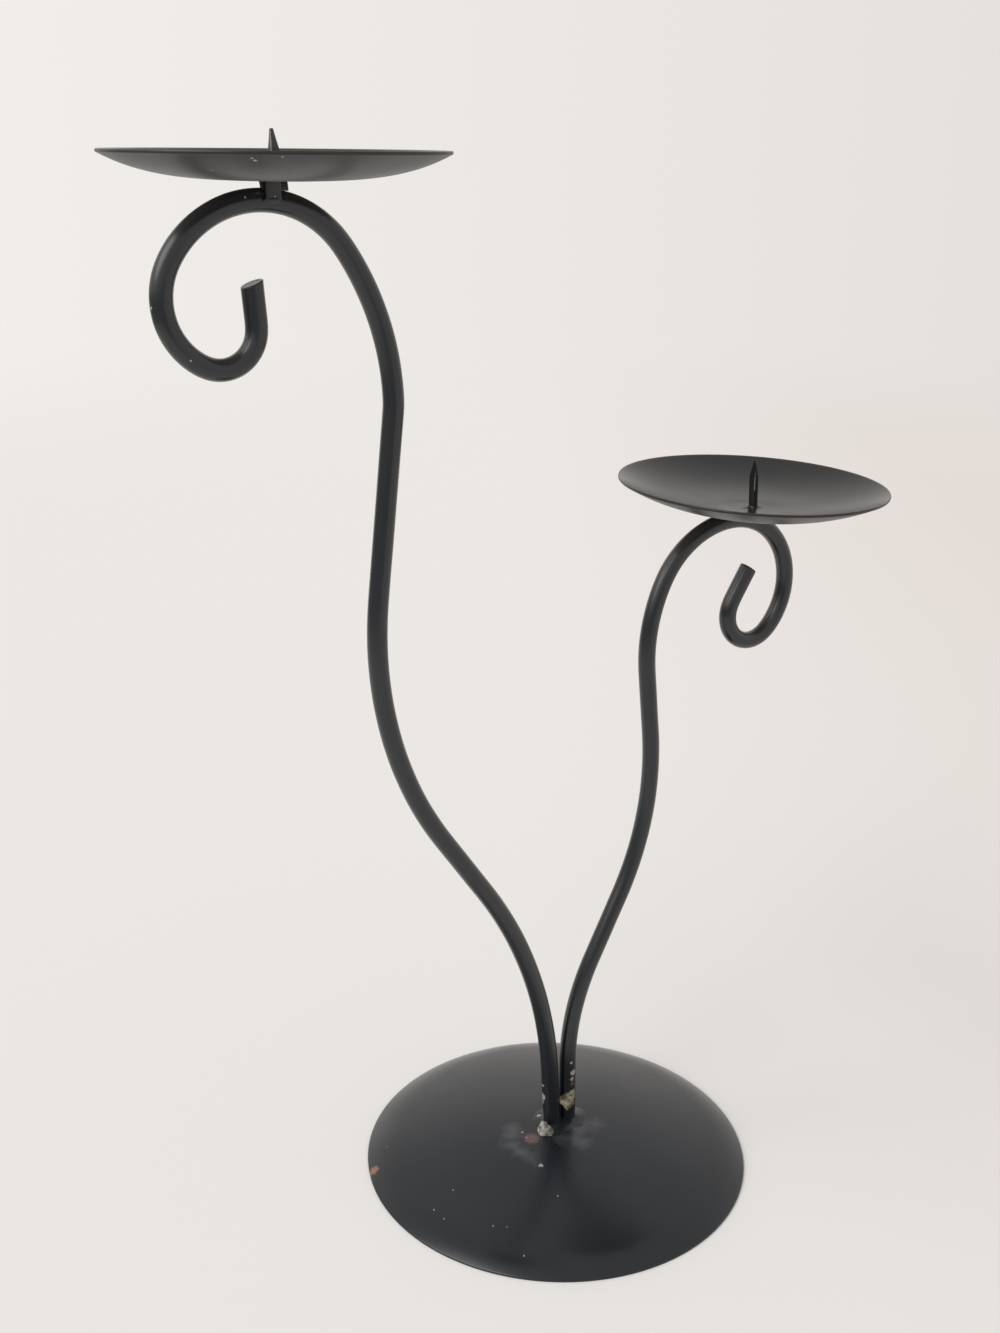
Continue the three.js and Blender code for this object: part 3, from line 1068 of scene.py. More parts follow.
@dataclass
class CandleDish:
    """Pressed sheet dish, punched with a slot whose torn tab hangs down from its far side."""

    depth: float  # rim above seat
    curve: float  # power that the side rises with
    neck: float  # air over the bar's crown
    shift: float  # of its middle from the crown, along X
    slot_x: float  # the slot's middle from the dish's
    tilt: float  # degrees towards +X
    nod: float  # degrees towards the front
    diameter: float
    seat: float = 24.0
    sheet: float = 0.9
    slot_length: float = 8.8
    slot_width: float = 2.2
    slot_power: int = 6  # the higher, the sharper its corners
    tab_root: float = 1.2  # how far it starts inside the sheet
    tab_bend: float = 0.5  # height of the corner that it bends round
    tab_taper: float = 0.02
    tab_power: int = 8
    tab_hang: float = 2.5
    tab_lap: float = 0.7  # how far the tab may reach down past the top of the bar
    tab_skew: float = 0.4
    tab_slant: float = 0.9  # how much lower its torn edge is on the right
    lip: float = 0.3  # how far the punch has drawn the slot's edge down
    lip_power: int = 6  # the higher, the narrower the drawn edge
    edge_round: float = 0.3
    warp: float = 0.1  # how far the sheet wanders from true, over the width of a wave
    wave: float = 30.0
    held: float = 15.0  # width of the band by the rim that stays true
    tear: float = 0.16  # raggedness of the tab's edge
    tear_grain: float = 1.3
    around: int = 240
    steps: int = 60
    slot_steps: int = 16
    crowding: float = 1.6  # power that crowds the rings towards the slot

    def side(self, r: np.ndarray) -> tuple[np.ndarray, np.ndarray]:
        """Gives the rise of the side above the seat, and its slope.

        Args:
            r: distances from the dish's middle.

        Returns:
            The rise, depth (r^c - s^c) / (R^c - s^c) for the curve c, seat s and rim R, and the
            slope.
        """
        low, high = self.seat / 2, self.diameter / 2
        span = high**self.curve - low**self.curve
        held = np.maximum(r, low)
        rise = self.depth * (held**self.curve - low**self.curve) / span
        slope = np.where(r > low, self.depth * self.curve * held ** (self.curve - 1) / span, 0)
        return rise, slope

    def shell(self) -> Skin:
        """Makes the dish with its slot.

        The rings run from the slot's outline, |x/a|^p + |y/b|^p = 1 for its power p, out to
        circles, round the rim and back underneath. Each point stands at the side's rise, with the
        wall hung under it.

        Returns:
            The shell, its underside's flat middle at z = 0.
        """
        rim, seat = self.diameter / 2, self.seat / 2
        angle = np.linspace(0, 2 * np.pi, self.around, endpoint=False)
        way = np.column_stack([np.cos(angle), np.sin(angle)])
        slot = np.array([self.slot_length, self.slot_width]) / 2
        reach = (np.abs(way / slot) ** self.slot_power).sum(axis=1) ** (-1 / self.slot_power)
        outline = way * reach[:, None] + [self.slot_x, 0]
        inner = np.linspace(0, 1, self.slot_steps)[:, None, None] ** self.crowding
        edge = self.edge_round
        outer = np.linspace(seat, rim - edge, self.steps)[1:, None, None]
        flat = np.concatenate([outline * (1 - inner) + way * seat * inner, way * outer])
        rise, slope = self.side(np.linalg.norm(flat, axis=2))
        drawn = (1 - inner[:, 0, 0]) ** self.lip_power
        drawn = np.concatenate([drawn, np.zeros(len(outer))])[:, None]
        top = self.sheet + rise - self.lip * drawn
        wall = self.sheet * np.hypot(1, slope)
        turn = np.linspace(np.pi / 2, -np.pi / 2, 9)[1:-1, None]
        rim_wall = wall[-1, 0]
        rim_flat = way[None] * (rim - edge + edge * np.cos(turn))[..., None]
        rim_z = np.broadcast_to(top[-1, 0] - rim_wall / 2 * (1 - np.sin(turn)), rim_flat.shape[:2])
        plan = np.concatenate([flat, rim_flat, flat[::-1]])
        z = np.concatenate([top, rim_z, (top - wall)[::-1]])
        rings = np.dstack([plan, z])
        wander = Unevenness(seed=21).at(rings * [1, 1, 0] / self.wave)
        loose = eased((rim - np.linalg.norm(plan, axis=2)) / self.held)
        rings[..., 2] += self.warp * wander * loose
        return ring_skin(rings, looped=True)

    def tab(self) -> Skin:
        """Makes the tab torn out of the slot, turned down from its far side.

        Its line is (1-t)^2 a + 2t(1-t) b + t^2 c, from a in the sheet round the bend b to c at the
        torn edge. The section |x/a|^p + |n/b|^p = 1, for the power p, is carried along it and
        shears towards +X.

        Returns:
            The tab's surface.
        """
        far = (self.slot_width + self.sheet) / 2
        hang = min(self.tab_hang, self.neck + self.tab_lap)
        t = np.linspace(0, 1, 28)
        root = (far + self.tab_root, self.sheet / 2)
        line = rounded_edge(root, (far, self.tab_bend), (far, -hang), len(t))
        along = np.gradient(line, axis=0)
        along /= np.linalg.norm(along, axis=1, keepdims=True)
        angle = np.linspace(0, 2 * np.pi, 96, endpoint=False)
        power = self.tab_power
        bulge = (np.cos(angle) ** power + np.sin(angle) ** power) ** (-1 / power)
        narrowed = 1 - self.tab_taper * t
        x = np.outer(narrowed, self.slot_length / 2 * np.cos(angle) * bulge)
        deep = self.sheet / 2 * np.sin(angle) * bulge
        t = t[:, None]
        slant = self.tab_slant * x / self.slot_length * t**2
        grain = np.stack([x / self.tear_grain, 0 * x, 0 * x], axis=-1)
        ragged = Unevenness(seed=31).at(grain)
        rings = np.stack(
            [
                self.slot_x + self.tab_skew * t + x,
                line[:, :1] - along[:, 1:] * deep,
                line[:, 1:] + along[:, :1] * deep + self.tear * ragged * t**4 - slant,
            ],
            axis=-1,
        )
        return ring_skin(rings)

    def skin(self) -> Skin:
        """Makes the dish with the slot for its spike and the slot's torn tab."""
        return self.shell().with_skin(self.tab())

    def turn(self) -> np.ndarray:
        """Gives the dish's tilt: first about Y towards +X, then about X towards the front.

        Returns:
            A 3 x 3 matrix.
        """
        turn = Matrix.Rotation(math.radians(self.nod), 3, "X") @ Matrix.Rotation(
            math.radians(self.tilt), 3, "Y"
        )
        return np.array(turn)


# ---------------------------------------------------------------- arms and welds


@dataclass
class Finishes:
    """The stand's finishes."""

    base: SatinEnamel
    bar: SatinEnamel
    dish: SatinEnamel
    spikes: dict[Lean, SatinEnamel]
    bead: SatinEnamel
    ash: RawWeld
    slag: RawWeld


@dataclass
class Arm:
    """One arm: its bar, the dish over the bar's crown, and the spike that is welded to the bar."""

    name: str
    bar: BentBar
    dish: CandleDish
    spike: FoldedSpike
    lap: float = 3.3  # how far the strip's foot hangs below the top of the bar
    bead: Egg = Egg((6.2, 1.7, 2.2))
    bead_back: float = 0.9  # of its middle, behind the strip's front, as times the sheet

    def build(self, finishes: Finishes, axis_x: float) -> None:
        """Makes the arm's four pieces.

        The dish stands over the strip, which laps the near side of the bar, so both are a little in
        front of the bar's axis.

        Args:
            finishes: the stand's finishes.
            axis_x: x of the base's axis.
        """
        line = self.bar.centre_line()
        top = line.crown[2] + self.bar.radius
        front = -(self.bar.radius + self.spike.clearance + self.spike.sheet)
        dish = np.array(
            [line.crown[0] + self.dish.shift, front + self.spike.sheet / 2, top + self.dish.neck]
        )
        fold = self.spike.shift + (self.spike.left_wing - self.spike.right_wing) / 2
        foot = np.array([dish[0] + fold, front, top - self.lap])
        seat_z = dish[2] + self.dish.sheet - foot[2]
        middle = (foot[0], front + self.bead_back * self.spike.sheet, foot[2])
        bead = lump_skin(middle, self.bead, coarse=3.0, bumps=0.04, seed=17)
        strip = self.spike.skin(seat_z).placed(np.eye(3), foot)
        dished = self.dish.skin().placed(self.dish.turn(), dish)
        spike_finish = finishes.spikes[self.bar.lean]
        parts = (
            ("bar", self.bar.skin(line), finishes.bar, Slot.BAR, "stem"),
            ("dish", dished, finishes.dish, Slot.DISH, "plate"),
            ("candle_spike", strip, spike_finish, Slot.SPIKE, "spike"),
            ("seat_bead", bead, finishes.bead, Slot.WELD, "seat_weld"),
        )
        for piece, skin, finish, slot, node in parts:
            placed = skin.placed(np.eye(3), np.array([axis_x, 0, 0]))
            material = finish.material(axis_x)
            make_piece(f"{self.name}_{piece}", placed, material, slot, f"{self.name}_{node}")


@dataclass
class FeetWelds:
    """The welds at the bars' feet: a puddle round both, a crusted lump, and a bead between them."""

    tall_foot: tuple[float, float]  # x from the base, and radius
    short_foot: tuple[float, float]
    reach: float = 5.6  # of the puddle beyond a bar's side
    waver: float = 0.16  # unevenness of its outline, as a share
    lobes: float = 1.8  # the more, the more lobes the outline has
    rise: float = 0.7  # at a bar's side
    run: float = 2.2  # length over which that falls to a third
    film: float = 0.35  # thickness of the rest
    blobs: float = 0.25  # unevenness of the film
    blob_width: float = 4.5
    dip: float = 0.25  # how far its edge dips under the top of the dome
    sunk: float = 0.6  # how far down it goes into the dome
    lump_place: tuple[float, float, float] = (-7.8, -5.0, 14.0)
    lump: Chunk = Chunk(((43, 1.9), (-46, 2.6), (238, 2.6), (162, 2.5)), front=1.6, back=2.4)
    bridge_place: tuple[float, float, float] = (2.7, -3.7, 24.4)
    bridge: Chunk = Chunk(((129, 2.1), (0, 2.7), (-43, 2.9), (215, 2.6)), front=1.4, back=1.6)
    around: int = 160
    steps: int = 44

    def puddle(self, base: SpunBase) -> Skin:
        """Makes the puddle.

        On a polar grid about the middle of the feet, it stands above the dome by
        rise e^(-d/run) at the distance d from a bar's side, plus an uneven film that fades to
        nothing at its wavering outline. Underneath it is sunk a little into the sheet.

        Args:
            base: the dome that it lies on.

        Returns:
            The puddle's surface, from the base.
        """
        feet = [self.tall_foot, self.short_foot]
        middle = sum(x for x, _ in feet) / 2
        half = abs(feet[1][0] - feet[0][0]) / 2
        angle = np.linspace(0, 2 * np.pi, self.around, endpoint=False)
        share = np.linspace(0, 1, self.steps + 1)[1:, None]
        way = np.column_stack([np.cos(angle), np.sin(angle), 0 * angle])
        waver = 1 + self.waver * Unevenness(seed=41).layered(way * self.lobes, layers=2)
        reach = (max(r for _, r in feet) + self.reach + half * np.abs(way[:, 0])) * waver
        x, y = middle + share * reach * way[:, 0], share * reach * way[:, 1]
        gap = np.min([np.hypot(x - foot, y) - radius for foot, radius in feet], axis=0)
        flat = np.stack([x, y, 0 * x], axis=-1)
        uneven = Unevenness(seed=43).layered(flat / self.blob_width, layers=2)
        film = self.film + self.blobs * uneven
        lift = self.rise * np.exp(-np.maximum(gap, 0) / self.run) + film * (1 - share**3)
        dome = base.height(np.hypot(x, y))
        over = np.stack([x, y, dome + lift - self.dip * share**8], axis=-1)
        under = np.stack([x, y, dome - self.sunk], axis=-1)
        return ring_skin(np.concatenate([over, under[::-1]]))

    def build(self, finishes: Finishes, base: SpunBase, axis_x: float) -> None:
        """Makes the puddle, the lump and the bead.

        Args:
            finishes: the stand's finishes.
            base: the dome that they lie on.
            axis_x: x of the base's axis.
        """
        shift = np.array([axis_x, 0, 0])
        lump = lump_skin(self.lump_place, self.lump, coarse=2.4, bumps=0.1, seed=51)
        bridge = lump_skin(self.bridge_place, self.bridge, coarse=2.6, bumps=0.08, seed=57)
        parts = (
            ("foot_puddle", self.puddle(base), finishes.bead.material(axis_x), "foot_weld"),
            ("foot_lump", lump, finishes.ash.material(), "foot_weld"),
            ("bridge_bead", bridge, finishes.slag.material(), "bridge_weld"),
        )
        for name, skin, material, node in parts:
            make_piece(name, skin.placed(np.eye(3), shift), material, Slot.WELD, node)


# ---------------------------------------------------------------- studio


@dataclass
class Studio:
    """Pale floor, pale surroundings and a large soft window on the left of a camera."""

    axis_x: float  # x of the base's axis
    camera_place: tuple[float, float, float] = (-288.2, -431.8, 390.8)  # from the base
    camera_forward: tuple[float, float, float] = (0.4866, 0.8077, -0.3329)
    camera_up: tuple[float, float, float] = (0.1645, 0.2896, 0.9429)
    lens: float = 41.18
    sensor: float = 36.0
    # floor colour lit on the left and painted darker to the right: painted shade of light falling
    # off away from the window
    floor_lit_left: str = "#f3f0ec"
    floor_shaded_right: str = "#ebe4de"
    sky_left: tuple[float, float, float] = (0.89, 0.862, 0.828)
    sky_right: tuple[float, float, float] = (0.755, 0.72, 0.69)
    zenith: tuple[float, float, float] = (0.56, 0.56, 0.57)
    sky_turn: tuple[float, float] = (-0.35, 0.45)  # rightward share where its right tone starts
    sky_lift: tuple[float, float] = (0.25, 0.75)  # upward share where the zenith's tone starts
    floor_solid: float = 1.1  # metres from the stand to where the floor starts to fade out
    floor_end: float = 2.6
    floor_spare: float = 1.1  # the disc's radius, as times that
    floor_turn: float = 0.5  # metres to the right over which the painted shade deepens
    floor_corners: int = 96
    window_way: tuple[float, float] = (-123.0, 40.0)  # degrees from the camera's forward, and up
    window_width: float = 50.0  # degrees across, seen from the stand
    window_strength: float = 1.5
    window_tone: tuple[float, float, float] = (0.98, 0.99, 1.0)
    room_arc: tuple[float, float] = (150.0, 300.0)  # dark room, degrees from the camera's forward
    room_reach: float = 0.85
    room_height: float = 0.36
    room_tone: float = 0.3
    room_steps: int = 31

    def build(self) -> None:
        """Makes the camera, floor, surroundings, window and dark room."""
        self.make_camera()
        self.make_world()
        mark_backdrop(self.make_floor(), self.make_room())
        self.make_window()

    @property
    def right(self) -> Vector:
        """The camera's right, level with the floor."""
        return Vector(self.camera_forward).cross(Vector((0, 0, 1))).normalized()

    def way(self, azimuth: float, elevation: float) -> Vector:
        """Gives a direction.

        Args:
            azimuth: degrees to the right of the camera's forward.
            elevation: degrees above the floor.

        Returns:
            The unit direction.
        """
        a, e = math.radians(azimuth), math.radians(elevation)
        ahead = Vector((0, 0, 1)).cross(self.right)
        level = ahead * math.cos(a) + self.right * math.sin(a)
        return level * math.cos(e) + Vector((0, 0, math.sin(e)))

    def make_camera(self) -> None:
        """Stands the camera where the photograph was taken from."""
        lens = bpy.data.cameras.new("camera")
        lens.lens, lens.sensor_width = self.lens, self.sensor
        camera = link_object("camera", lens)
        back = -Vector(self.camera_forward).normalized()
        right = Vector(self.camera_up).cross(back).normalized()
        up = back.cross(right)
        turn = Matrix((right, up, back)).transposed().to_4x4()
        place = Vector(self.camera_place) + Vector((self.axis_x, 0, 0))
        camera.matrix_world = Matrix.Translation(place * MM) @ turn
        bpy.context.scene.camera = camera

    def make_world(self) -> None:
        """Makes surroundings that are pale low down and greyer overhead."""
        world = bpy.data.worlds.new("surroundings")
        world.use_nodes = True
        tree = world.node_tree
        tree.nodes.clear()
        way = add_node(tree, "ShaderNodeTexCoord").outputs["Generated"]
        across = add_node(
            tree, "ShaderNodeVectorMath", {"operation": "DOT_PRODUCT"}, {0: way, 1: self.right}
        ).outputs["Value"]
        start, full = self.sky_turn
        side = add_node(
            tree, "ShaderNodeMapRange", inputs={0: across, 1: start, 2: full}
        ).outputs[0]
        height = add_node(tree, "ShaderNodeSeparateXYZ", inputs={0: way}).outputs["Z"]
        start, full = self.sky_lift
        lift = add_node(
            tree, "ShaderNodeMapRange", SMOOTH, {0: height, 1: start, 2: full}
        ).outputs[0]
        low = add_node(
            tree,
            "ShaderNodeMix",
            COLOURS,
            {0: side, 6: (*self.sky_left, 1), 7: (*self.sky_right, 1)},
        ).outputs[2]
        sky = add_node(
            tree, "ShaderNodeMix", COLOURS, {0: lift, 6: low, 7: (*self.zenith, 1)}
        ).outputs[2]
        background = add_node(tree, "ShaderNodeBackground", inputs={"Color": sky})
        add_node(tree, "ShaderNodeOutputWorld", inputs={"Surface": background.outputs[0]})
        bpy.context.scene.world = world

    def make_floor(self) -> bpy.types.Object:
        """Makes the floor, a disc that fades into the surroundings and isn't seen from below, its
        colour painted darker to the right as shade.

        Returns:
            The floor.
        """
        mesh = bpy.data.meshes.new("floor")
        angle = np.linspace(0, 2 * np.pi, self.floor_corners, endpoint=False)
        rim = np.column_stack([np.cos(angle), np.sin(angle), 0 * angle])
        rim *= self.floor_end * self.floor_spare
        mesh.from_pydata(rim.tolist(), [], [list(range(len(rim)))])
        material, tree = empty_material("pale_table")
        own = add_node(tree, "ShaderNodeTexCoord").outputs["Object"]
        across = add_node(
            tree, "ShaderNodeVectorMath", {"operation": "DOT_PRODUCT"}, {0: own, 1: self.right}
        ).outputs["Value"]
        side = add_node(
            tree, "ShaderNodeMapRange", inputs={0: across, 2: self.floor_turn}
        ).outputs[0]
        # painted shade: the floor's colour darkens towards the right
        tone = add_node(
            tree,
            "ShaderNodeMix",
            COLOURS,
            {0: side, 6: linear(self.floor_lit_left), 7: linear(self.floor_shaded_right)},
        ).outputs[2]
        far = add_node(
            tree, "ShaderNodeVectorMath", {"operation": "LENGTH"}, {0: own}
        ).outputs["Value"]
        fade = add_node(
            tree,
            "ShaderNodeMapRange",
            SMOOTH,
            {0: far, 1: self.floor_solid, 2: self.floor_end},
        ).outputs[0]
        below = add_node(tree, "ShaderNodeNewGeometry").outputs["Backfacing"]
        gone = add_node(
            tree, "ShaderNodeMath", {"operation": "MAXIMUM"}, {0: fade, 1: below}
        ).outputs[0]
        paper = add_node(tree, "ShaderNodeBsdfDiffuse", inputs={"Color": tone}).outputs[0]
        air = add_node(tree, "ShaderNodeBsdfTransparent").outputs[0]
        mixed = add_node(tree, "ShaderNodeMixShader", inputs={0: gone, 1: paper, 2: air}).outputs[0]
        add_node(tree, "ShaderNodeOutputMaterial", inputs={"Surface": mixed})
        mesh.materials.append(material)
        return link_object("floor", mesh)

    def make_room(self) -> bpy.types.Object:
        """Makes the dark room behind the camera, a curved card that only reflections show.

        Returns:
            The card.
        """
        mesh = bpy.data.meshes.new("dark_room")
        angles = np.linspace(*self.room_arc, self.room_steps)
        ways = [self.way(a, 0) * self.room_reach for a in angles]
        low = np.array(ways)
        high = low + [0, 0, self.room_height]
        index = np.arange(len(ways) - 1)
        faces = np.stack([index, index + 1, index + 1 + len(ways), index + len(ways)], axis=1)
        mesh.from_pydata(np.vstack([low, high]).tolist(), [], faces.tolist())
        room = link_object("dark_room", mesh)
        room.visible_camera = room.visible_diffuse = room.visible_shadow = False
        room.visible_transmission = room.visible_volume_scatter = False
        material, tree = empty_material("dim_room")
        glow = add_node(tree, "ShaderNodeEmission", inputs={"Color": (*[self.room_tone] * 3, 1)})
        add_node(tree, "ShaderNodeOutputMaterial", inputs={"Surface": glow.outputs[0]})
        mesh.materials.append(material)
        return room

    def make_window(self) -> None:
        """Makes the window, a distant soft disc of daylight."""
        lamp = bpy.data.lights.new("window", "SUN")
        lamp.energy, lamp.angle = self.window_strength, math.radians(self.window_width)
        lamp.color = self.window_tone
        window = link_object("window", lamp)
        turn = self.way(*self.window_way).to_track_quat("Z", "Y")
        window.matrix_world = turn.to_matrix().to_4x4()


# ---------------------------------------------------------------- the stand


@dataclass
class CandleStand:
    """The whole stand: base, tall arm on the left, short arm on the right, and the feet's welds."""

    base: SpunBase = field(default_factory=SpunBase)
    feet_shift: float = 1.9  # midway between the two feet, from the base
    feet_gap: float = 0.5

    @property
    def axis_x(self) -> float:
        """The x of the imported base's axis."""
        low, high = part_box("base_dome")
        return (low.x + high.x) / 2 / MM

    def arms(self) -> tuple[Arm, Arm]:
        """Sets out the two arms.

        Returns:
            The tall arm and the short arm.
        """
        tall = BentBar(
            lean=Lean.LEFT,
            diameter=6.9,
            foot_lean=4,
            tip_cut=16,
            run=(
                Straight(25),
                Bend(175, 30.5),
                Straight(30.5),
                Bend(139, -40.5),
                Straight(62.5),
                Bend(17.5, 8),
                Bend(87, 34),
                Bend(32.5, 114),
                Bend(22, 94),
                Bend(11.5, 120.5),
                Straight(13.5),
            ),
        )
        short = BentBar(
            lean=Lean.RIGHT,
            diameter=6.5,
            foot_lean=-1,
            tip_cut=5,
            run=(
                Straight(25.5),
                Bend(95, 27.5),
                Straight(27.5),
                Bend(119, -33),
                Straight(24.5),
                Bend(63, 32),
                Bend(35, 66),
                Bend(27, 133.5),
                Bend(11.5, 166),
                Straight(14.5),
            ),
        )
        tall.foot_x = self.feet_shift - self.feet_gap / 2 - tall.radius
        short.foot_x = self.feet_shift + self.feet_gap / 2 + short.radius
        return (
            Arm(
                "tall",
                tall,
                CandleDish(
                    depth=7.75,
                    curve=3.6,
                    neck=2.0,
                    shift=4.5,
                    slot_x=-0.9,
                    tilt=0.25,
                    nod=-0.3,
                    diameter=101.2,
                ),
                FoldedSpike(
                    left_wing=2.1,
                    right_wing=2.6,
                    left_fold=80,
                    right_fold=0,
                    height=13.3,
                    point=5.7,
                    shift=-1.5,
                    point_width=0.75,
                    point_bulge=1.0,
                ),
            ),
            Arm(
                "short",
                short,
                CandleDish(
                    depth=9.6,
                    curve=2.8,
                    neck=0.75,
                    shift=4.4,
                    slot_x=1.1,
                    tilt=1.8,
                    nod=1.2,
                    diameter=100.0,
                    slot_length=5.6,
                    slot_width=1.6,
                ),
                FoldedSpike(
                    left_wing=2.65,
                    right_wing=2.25,
                    left_fold=77,
                    right_fold=13,
                    height=17.7,
                    point=6.6,
                    shift=1.35,
                    lean=-0.042,
                ),
            ),
        )

    def on_base(
        self, mark: Mark, reach: float, *places: tuple[float, float]
    ) -> tuple[MarkedSpot, ...]:
        """Marks the top of the dome.

        Args:
            mark: the kind of mark.
            reach: how far each mark reaches.
            *places: x and y of each, from the base's axis.

        Returns:
            One spot for each place.
        """
        return tuple(
            MarkedSpot(mark, (x, y, float(self.base.height(np.hypot(x, y)))), reach)
            for x, y in places
        )

    def base_finish(self) -> SatinEnamel:
        """Mixes the base's enamel.

        Returns:
            The finish, with rust at the rim and the feet, a few chips, and smears from the welding.
        """
        return SatinEnamel(
            "satin_black_enamel_base",
            deep="#13161a",
            thin="#1b1f24",
            gloss=0.22,
            dull=0.3,
            coat=0.2,
            spots=(
                *self.on_base(Mark.RUST, 5.4, (-14.3, -4.6)),
                *self.on_base(Mark.ORANGE_RUST, 3.3, (-70.4, 23.0)),
                *self.on_base(Mark.BARE_AND_GLINT, 1.4, (-19.4, -19.4)),
                *self.on_base(Mark.BARE_AND_GLINT, 0.8, (-15.6, -2.9)),
                *self.on_base(Mark.BARE_AND_GLINT, 0.6, (-15.4, 0.6)),
                *self.on_base(Mark.BARE_AND_GLINT, 0.45, (-53.1, -10.1), (-63.3, -13.6), (-62.4, -19.7)),
                *self.on_base(Mark.BARE_AND_GLINT, 0.45, (-49.4, -33.9), (-45.4, -37.2), (-46.3, -50.7)),
                *self.on_base(Mark.BARE_AND_GLINT, 0.45, (-60.9, 30.2), (-22.0, -35.6)),
                *self.on_base(Mark.SCORCH_AND_SHEEN, 8.0, (3.1, -9.3), (8.0, -9.0), (12.5, -8.2)),
                *self.on_base(Mark.SCORCH_AND_SHEEN, 8.0, (-3.0, -11.3), (-0.3, -14.5), (1.9, -17.6)),
                *self.on_base(Mark.SCORCH_AND_SHEEN, 8.0, (-20.6, 1.4), (-17.3, 4.2), (-22.1, -3.4)),
                *self.on_base(Mark.SCORCH_AND_SHEEN, 8.0, (-21.4, -8.6), (-20.4, -14.0)),
            ),
        )

    def bar_finish(self) -> SatinEnamel:
        """Mixes the bars' enamel.

        Returns:
            The finish, glossier than the rest, with spatter and a little rust above the feet.
        """
        return SatinEnamel(
            "satin_black_enamel_bars",
            deep="#101318",
            thin="#181c22",
            gloss=0.25,
            dull=0.35,
            coat=0.3,
            # a pale grey mixed into the bars' upward faces
            upward_pale=0.09,
            spots=(
                MarkedSpot(Mark.BARE_AND_GLINT, (-6.3, 0.4, 27.2), 2.3),
                MarkedSpot(Mark.BARE_AND_GLINT, (-6.0, 0.8, 24.6), 1.4),
                MarkedSpot(Mark.BARE_AND_GLINT, (-6.6, 0.0, 32.8), 1.0),
                MarkedSpot(Mark.BARE_AND_GLINT, (5.8, -3.1, 36.6), 2.2),
                MarkedSpot(Mark.BARE_AND_GLINT, (5.2, -3.2, 33.7), 1.3),
                MarkedSpot(Mark.RUST, (5.4, -3.2, 31.4), 1.6),
                MarkedSpot(Mark.BARE_AND_GLINT, (4.7, -3.2, 41.3), 0.9),
                MarkedSpot(Mark.BARE_AND_GLINT, (-116.4, -3.1, 371.6), 0.6),
                MarkedSpot(Mark.BARE_AND_GLINT, (-145.5, -0.7, 341.7), 0.7),
                MarkedSpot(Mark.BARE_AND_GLINT, (-135.5, -3.3, 326.5), 0.5),
            ),
        )

    def dish_finish(self) -> SatinEnamel:
        """Mixes the dishes' enamel.

        Returns:
            The finish, duller and warmer than the rest, but waxed smooth inside, with scratches
            under the tall dish.
        """
        return SatinEnamel(
            "satin_black_enamel_dishes",
            deep="#181614",
            thin="#24211d",
            gloss=0.39,
            dull=0.47,
            coat=0.06,
            polish=0.21,
            spots=(
                MarkedSpot(Mark.BARE_AND_GLINT, (-131.2, -45.9, 383.1), 0.6),
                MarkedSpot(Mark.BARE_AND_GLINT, (-130.1, -45.3, 382.5), 0.8),
                MarkedSpot(Mark.BARE_AND_GLINT, (-124.5, -50.1, 383.5), 0.5),
                MarkedSpot(Mark.BARE_AND_GLINT, (-136.6, -31.2, 379.8), 0.5),
            ),
        )

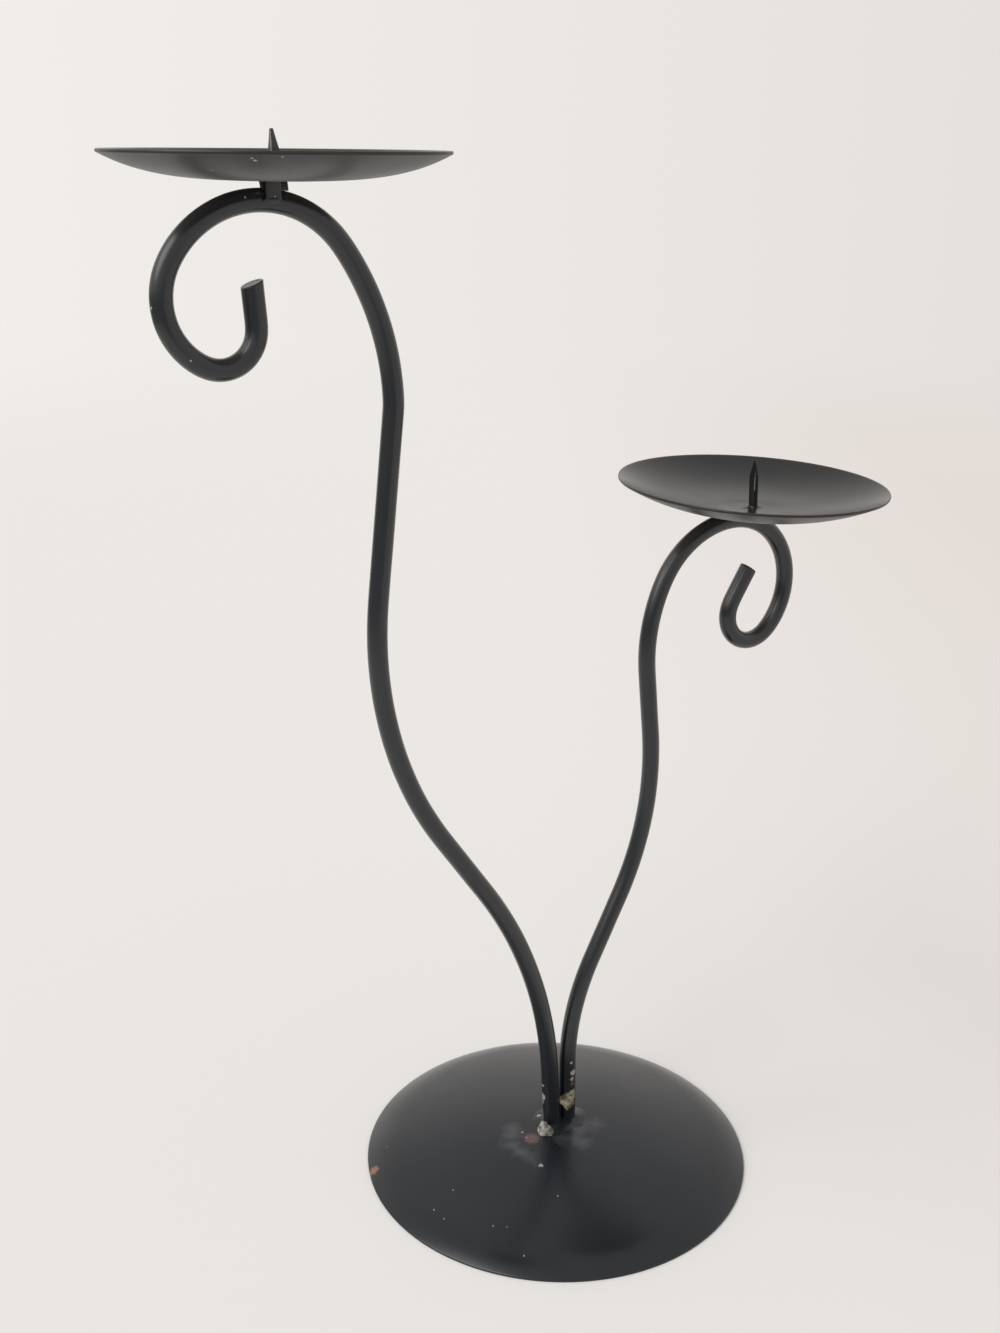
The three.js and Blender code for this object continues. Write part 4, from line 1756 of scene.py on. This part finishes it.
    def spike_finishes(self) -> dict[Lean, SatinEnamel]:
        """Mixes the spikes' enamel, with a pale streak down each fold: enamel worn off by candles,
        and a painted highlight of the ridge.

        Returns:
            The tall spike's finish, greyer at its point, partly thin enamel and partly a painted
            highlight of the point's lit face, and the short one's.
        """
        return {
            Lean.LEFT: SatinEnamel(
                "thin_black_enamel_tall_spike",
                deep="#191a1c",
                thin="#252629",
                gloss=0.28,
                dull=0.36,
                spots=(
                    # pale streak down the fold: worn enamel, and a painted highlight of the ridge
                    MarkedSpot(Mark.BARE_AND_GLINT, (-108.4, -4.3, 386.5), 0.4, stretch=14),
                    MarkedSpot(Mark.BARE_AND_GLINT, (-107.8, -4.6, 371.7), 0.4),
                    # greys the point: a painted highlight of its lit face, over thin enamel
                    MarkedSpot(Mark.SCORCH_AND_SHEEN, (-107.6, -3.6, 387.5), 11.0),
                ),
            ),
            Lean.RIGHT: SatinEnamel(
                "satin_black_enamel_short_spike",
                deep="#0e0f10",
                thin="#161718",
                gloss=0.28,
                dull=0.36,
                # pale streak down the fold: worn enamel, and a painted highlight of the ridge
                spots=(MarkedSpot(Mark.BARE_AND_GLINT, (78.8, -4.4, 266.5), 0.45, stretch=17),),
            ),
        }

    def bead_finish(self) -> SatinEnamel:
        """Mixes the enamel on the puddle and the beads.

        Returns:
            The finish, with rust beside the lump and smears in front of the short bar.
        """
        return SatinEnamel(
            "satin_black_enamel_on_weld",
            deep="#17191b",
            thin="#212326",
            gloss=0.26,
            dull=0.4,
            spots=(
                MarkedSpot(Mark.RUST, (-10.8, -5.4, 14.4), 2.6),
                MarkedSpot(Mark.SCORCH_AND_SHEEN, (4.0, -8.6, 14.6), 5.0),
                MarkedSpot(Mark.BARE_AND_GLINT, (-4.4, 5.8, 14.6), 1.4),
                MarkedSpot(Mark.BARE_AND_GLINT, (-108.4, -5.1, 370.1), 0.5),
            ),
        )

    def finishes(self) -> Finishes:
        """Mixes the stand's finishes.

        Returns:
            The finishes.
        """
        return Finishes(
            base=self.base_finish(),
            bar=self.bar_finish(),
            dish=self.dish_finish(),
            spikes=self.spike_finishes(),
            bead=self.bead_finish(),
            ash=RawWeld("raw_weld_ash", crust="#aaa69f", body="#706c66", hollow="#3d3832"),
            slag=RawWeld("raw_weld_slag", crust="#9c9683", body="#6b6553", hollow="#332d20"),
        )

    def build(self) -> None:
        """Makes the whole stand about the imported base's own axis."""
        axis_x = self.axis_x
        finishes = self.finishes()
        self.base.build(finishes.base, axis_x)
        arms = self.arms()
        for arm in arms:
            arm.build(finishes, axis_x)
        tall, short = ((arm.bar.foot_x, arm.bar.radius) for arm in arms)
        FeetWelds(tall, short).build(finishes, self.base, axis_x)


def main() -> None:
    """Builds the stand and its studio, and logs both boxes."""
    logging.basicConfig(level=logging.INFO, format="%(name)s: %(message)s")
    stand = CandleStand()
    stand.build()
    Studio(stand.axis_x).build()
    bpy.context.scene.view_settings.view_transform = "Standard"
    boxes = {"cad": CAD_BOX, "visual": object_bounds()}
    for name, box in boxes.items():
        log.info("%s box, mm: %s", name, [[round(v / MM, 2) for v in corner] for corner in box])


if __name__ == "__main__":
    main()
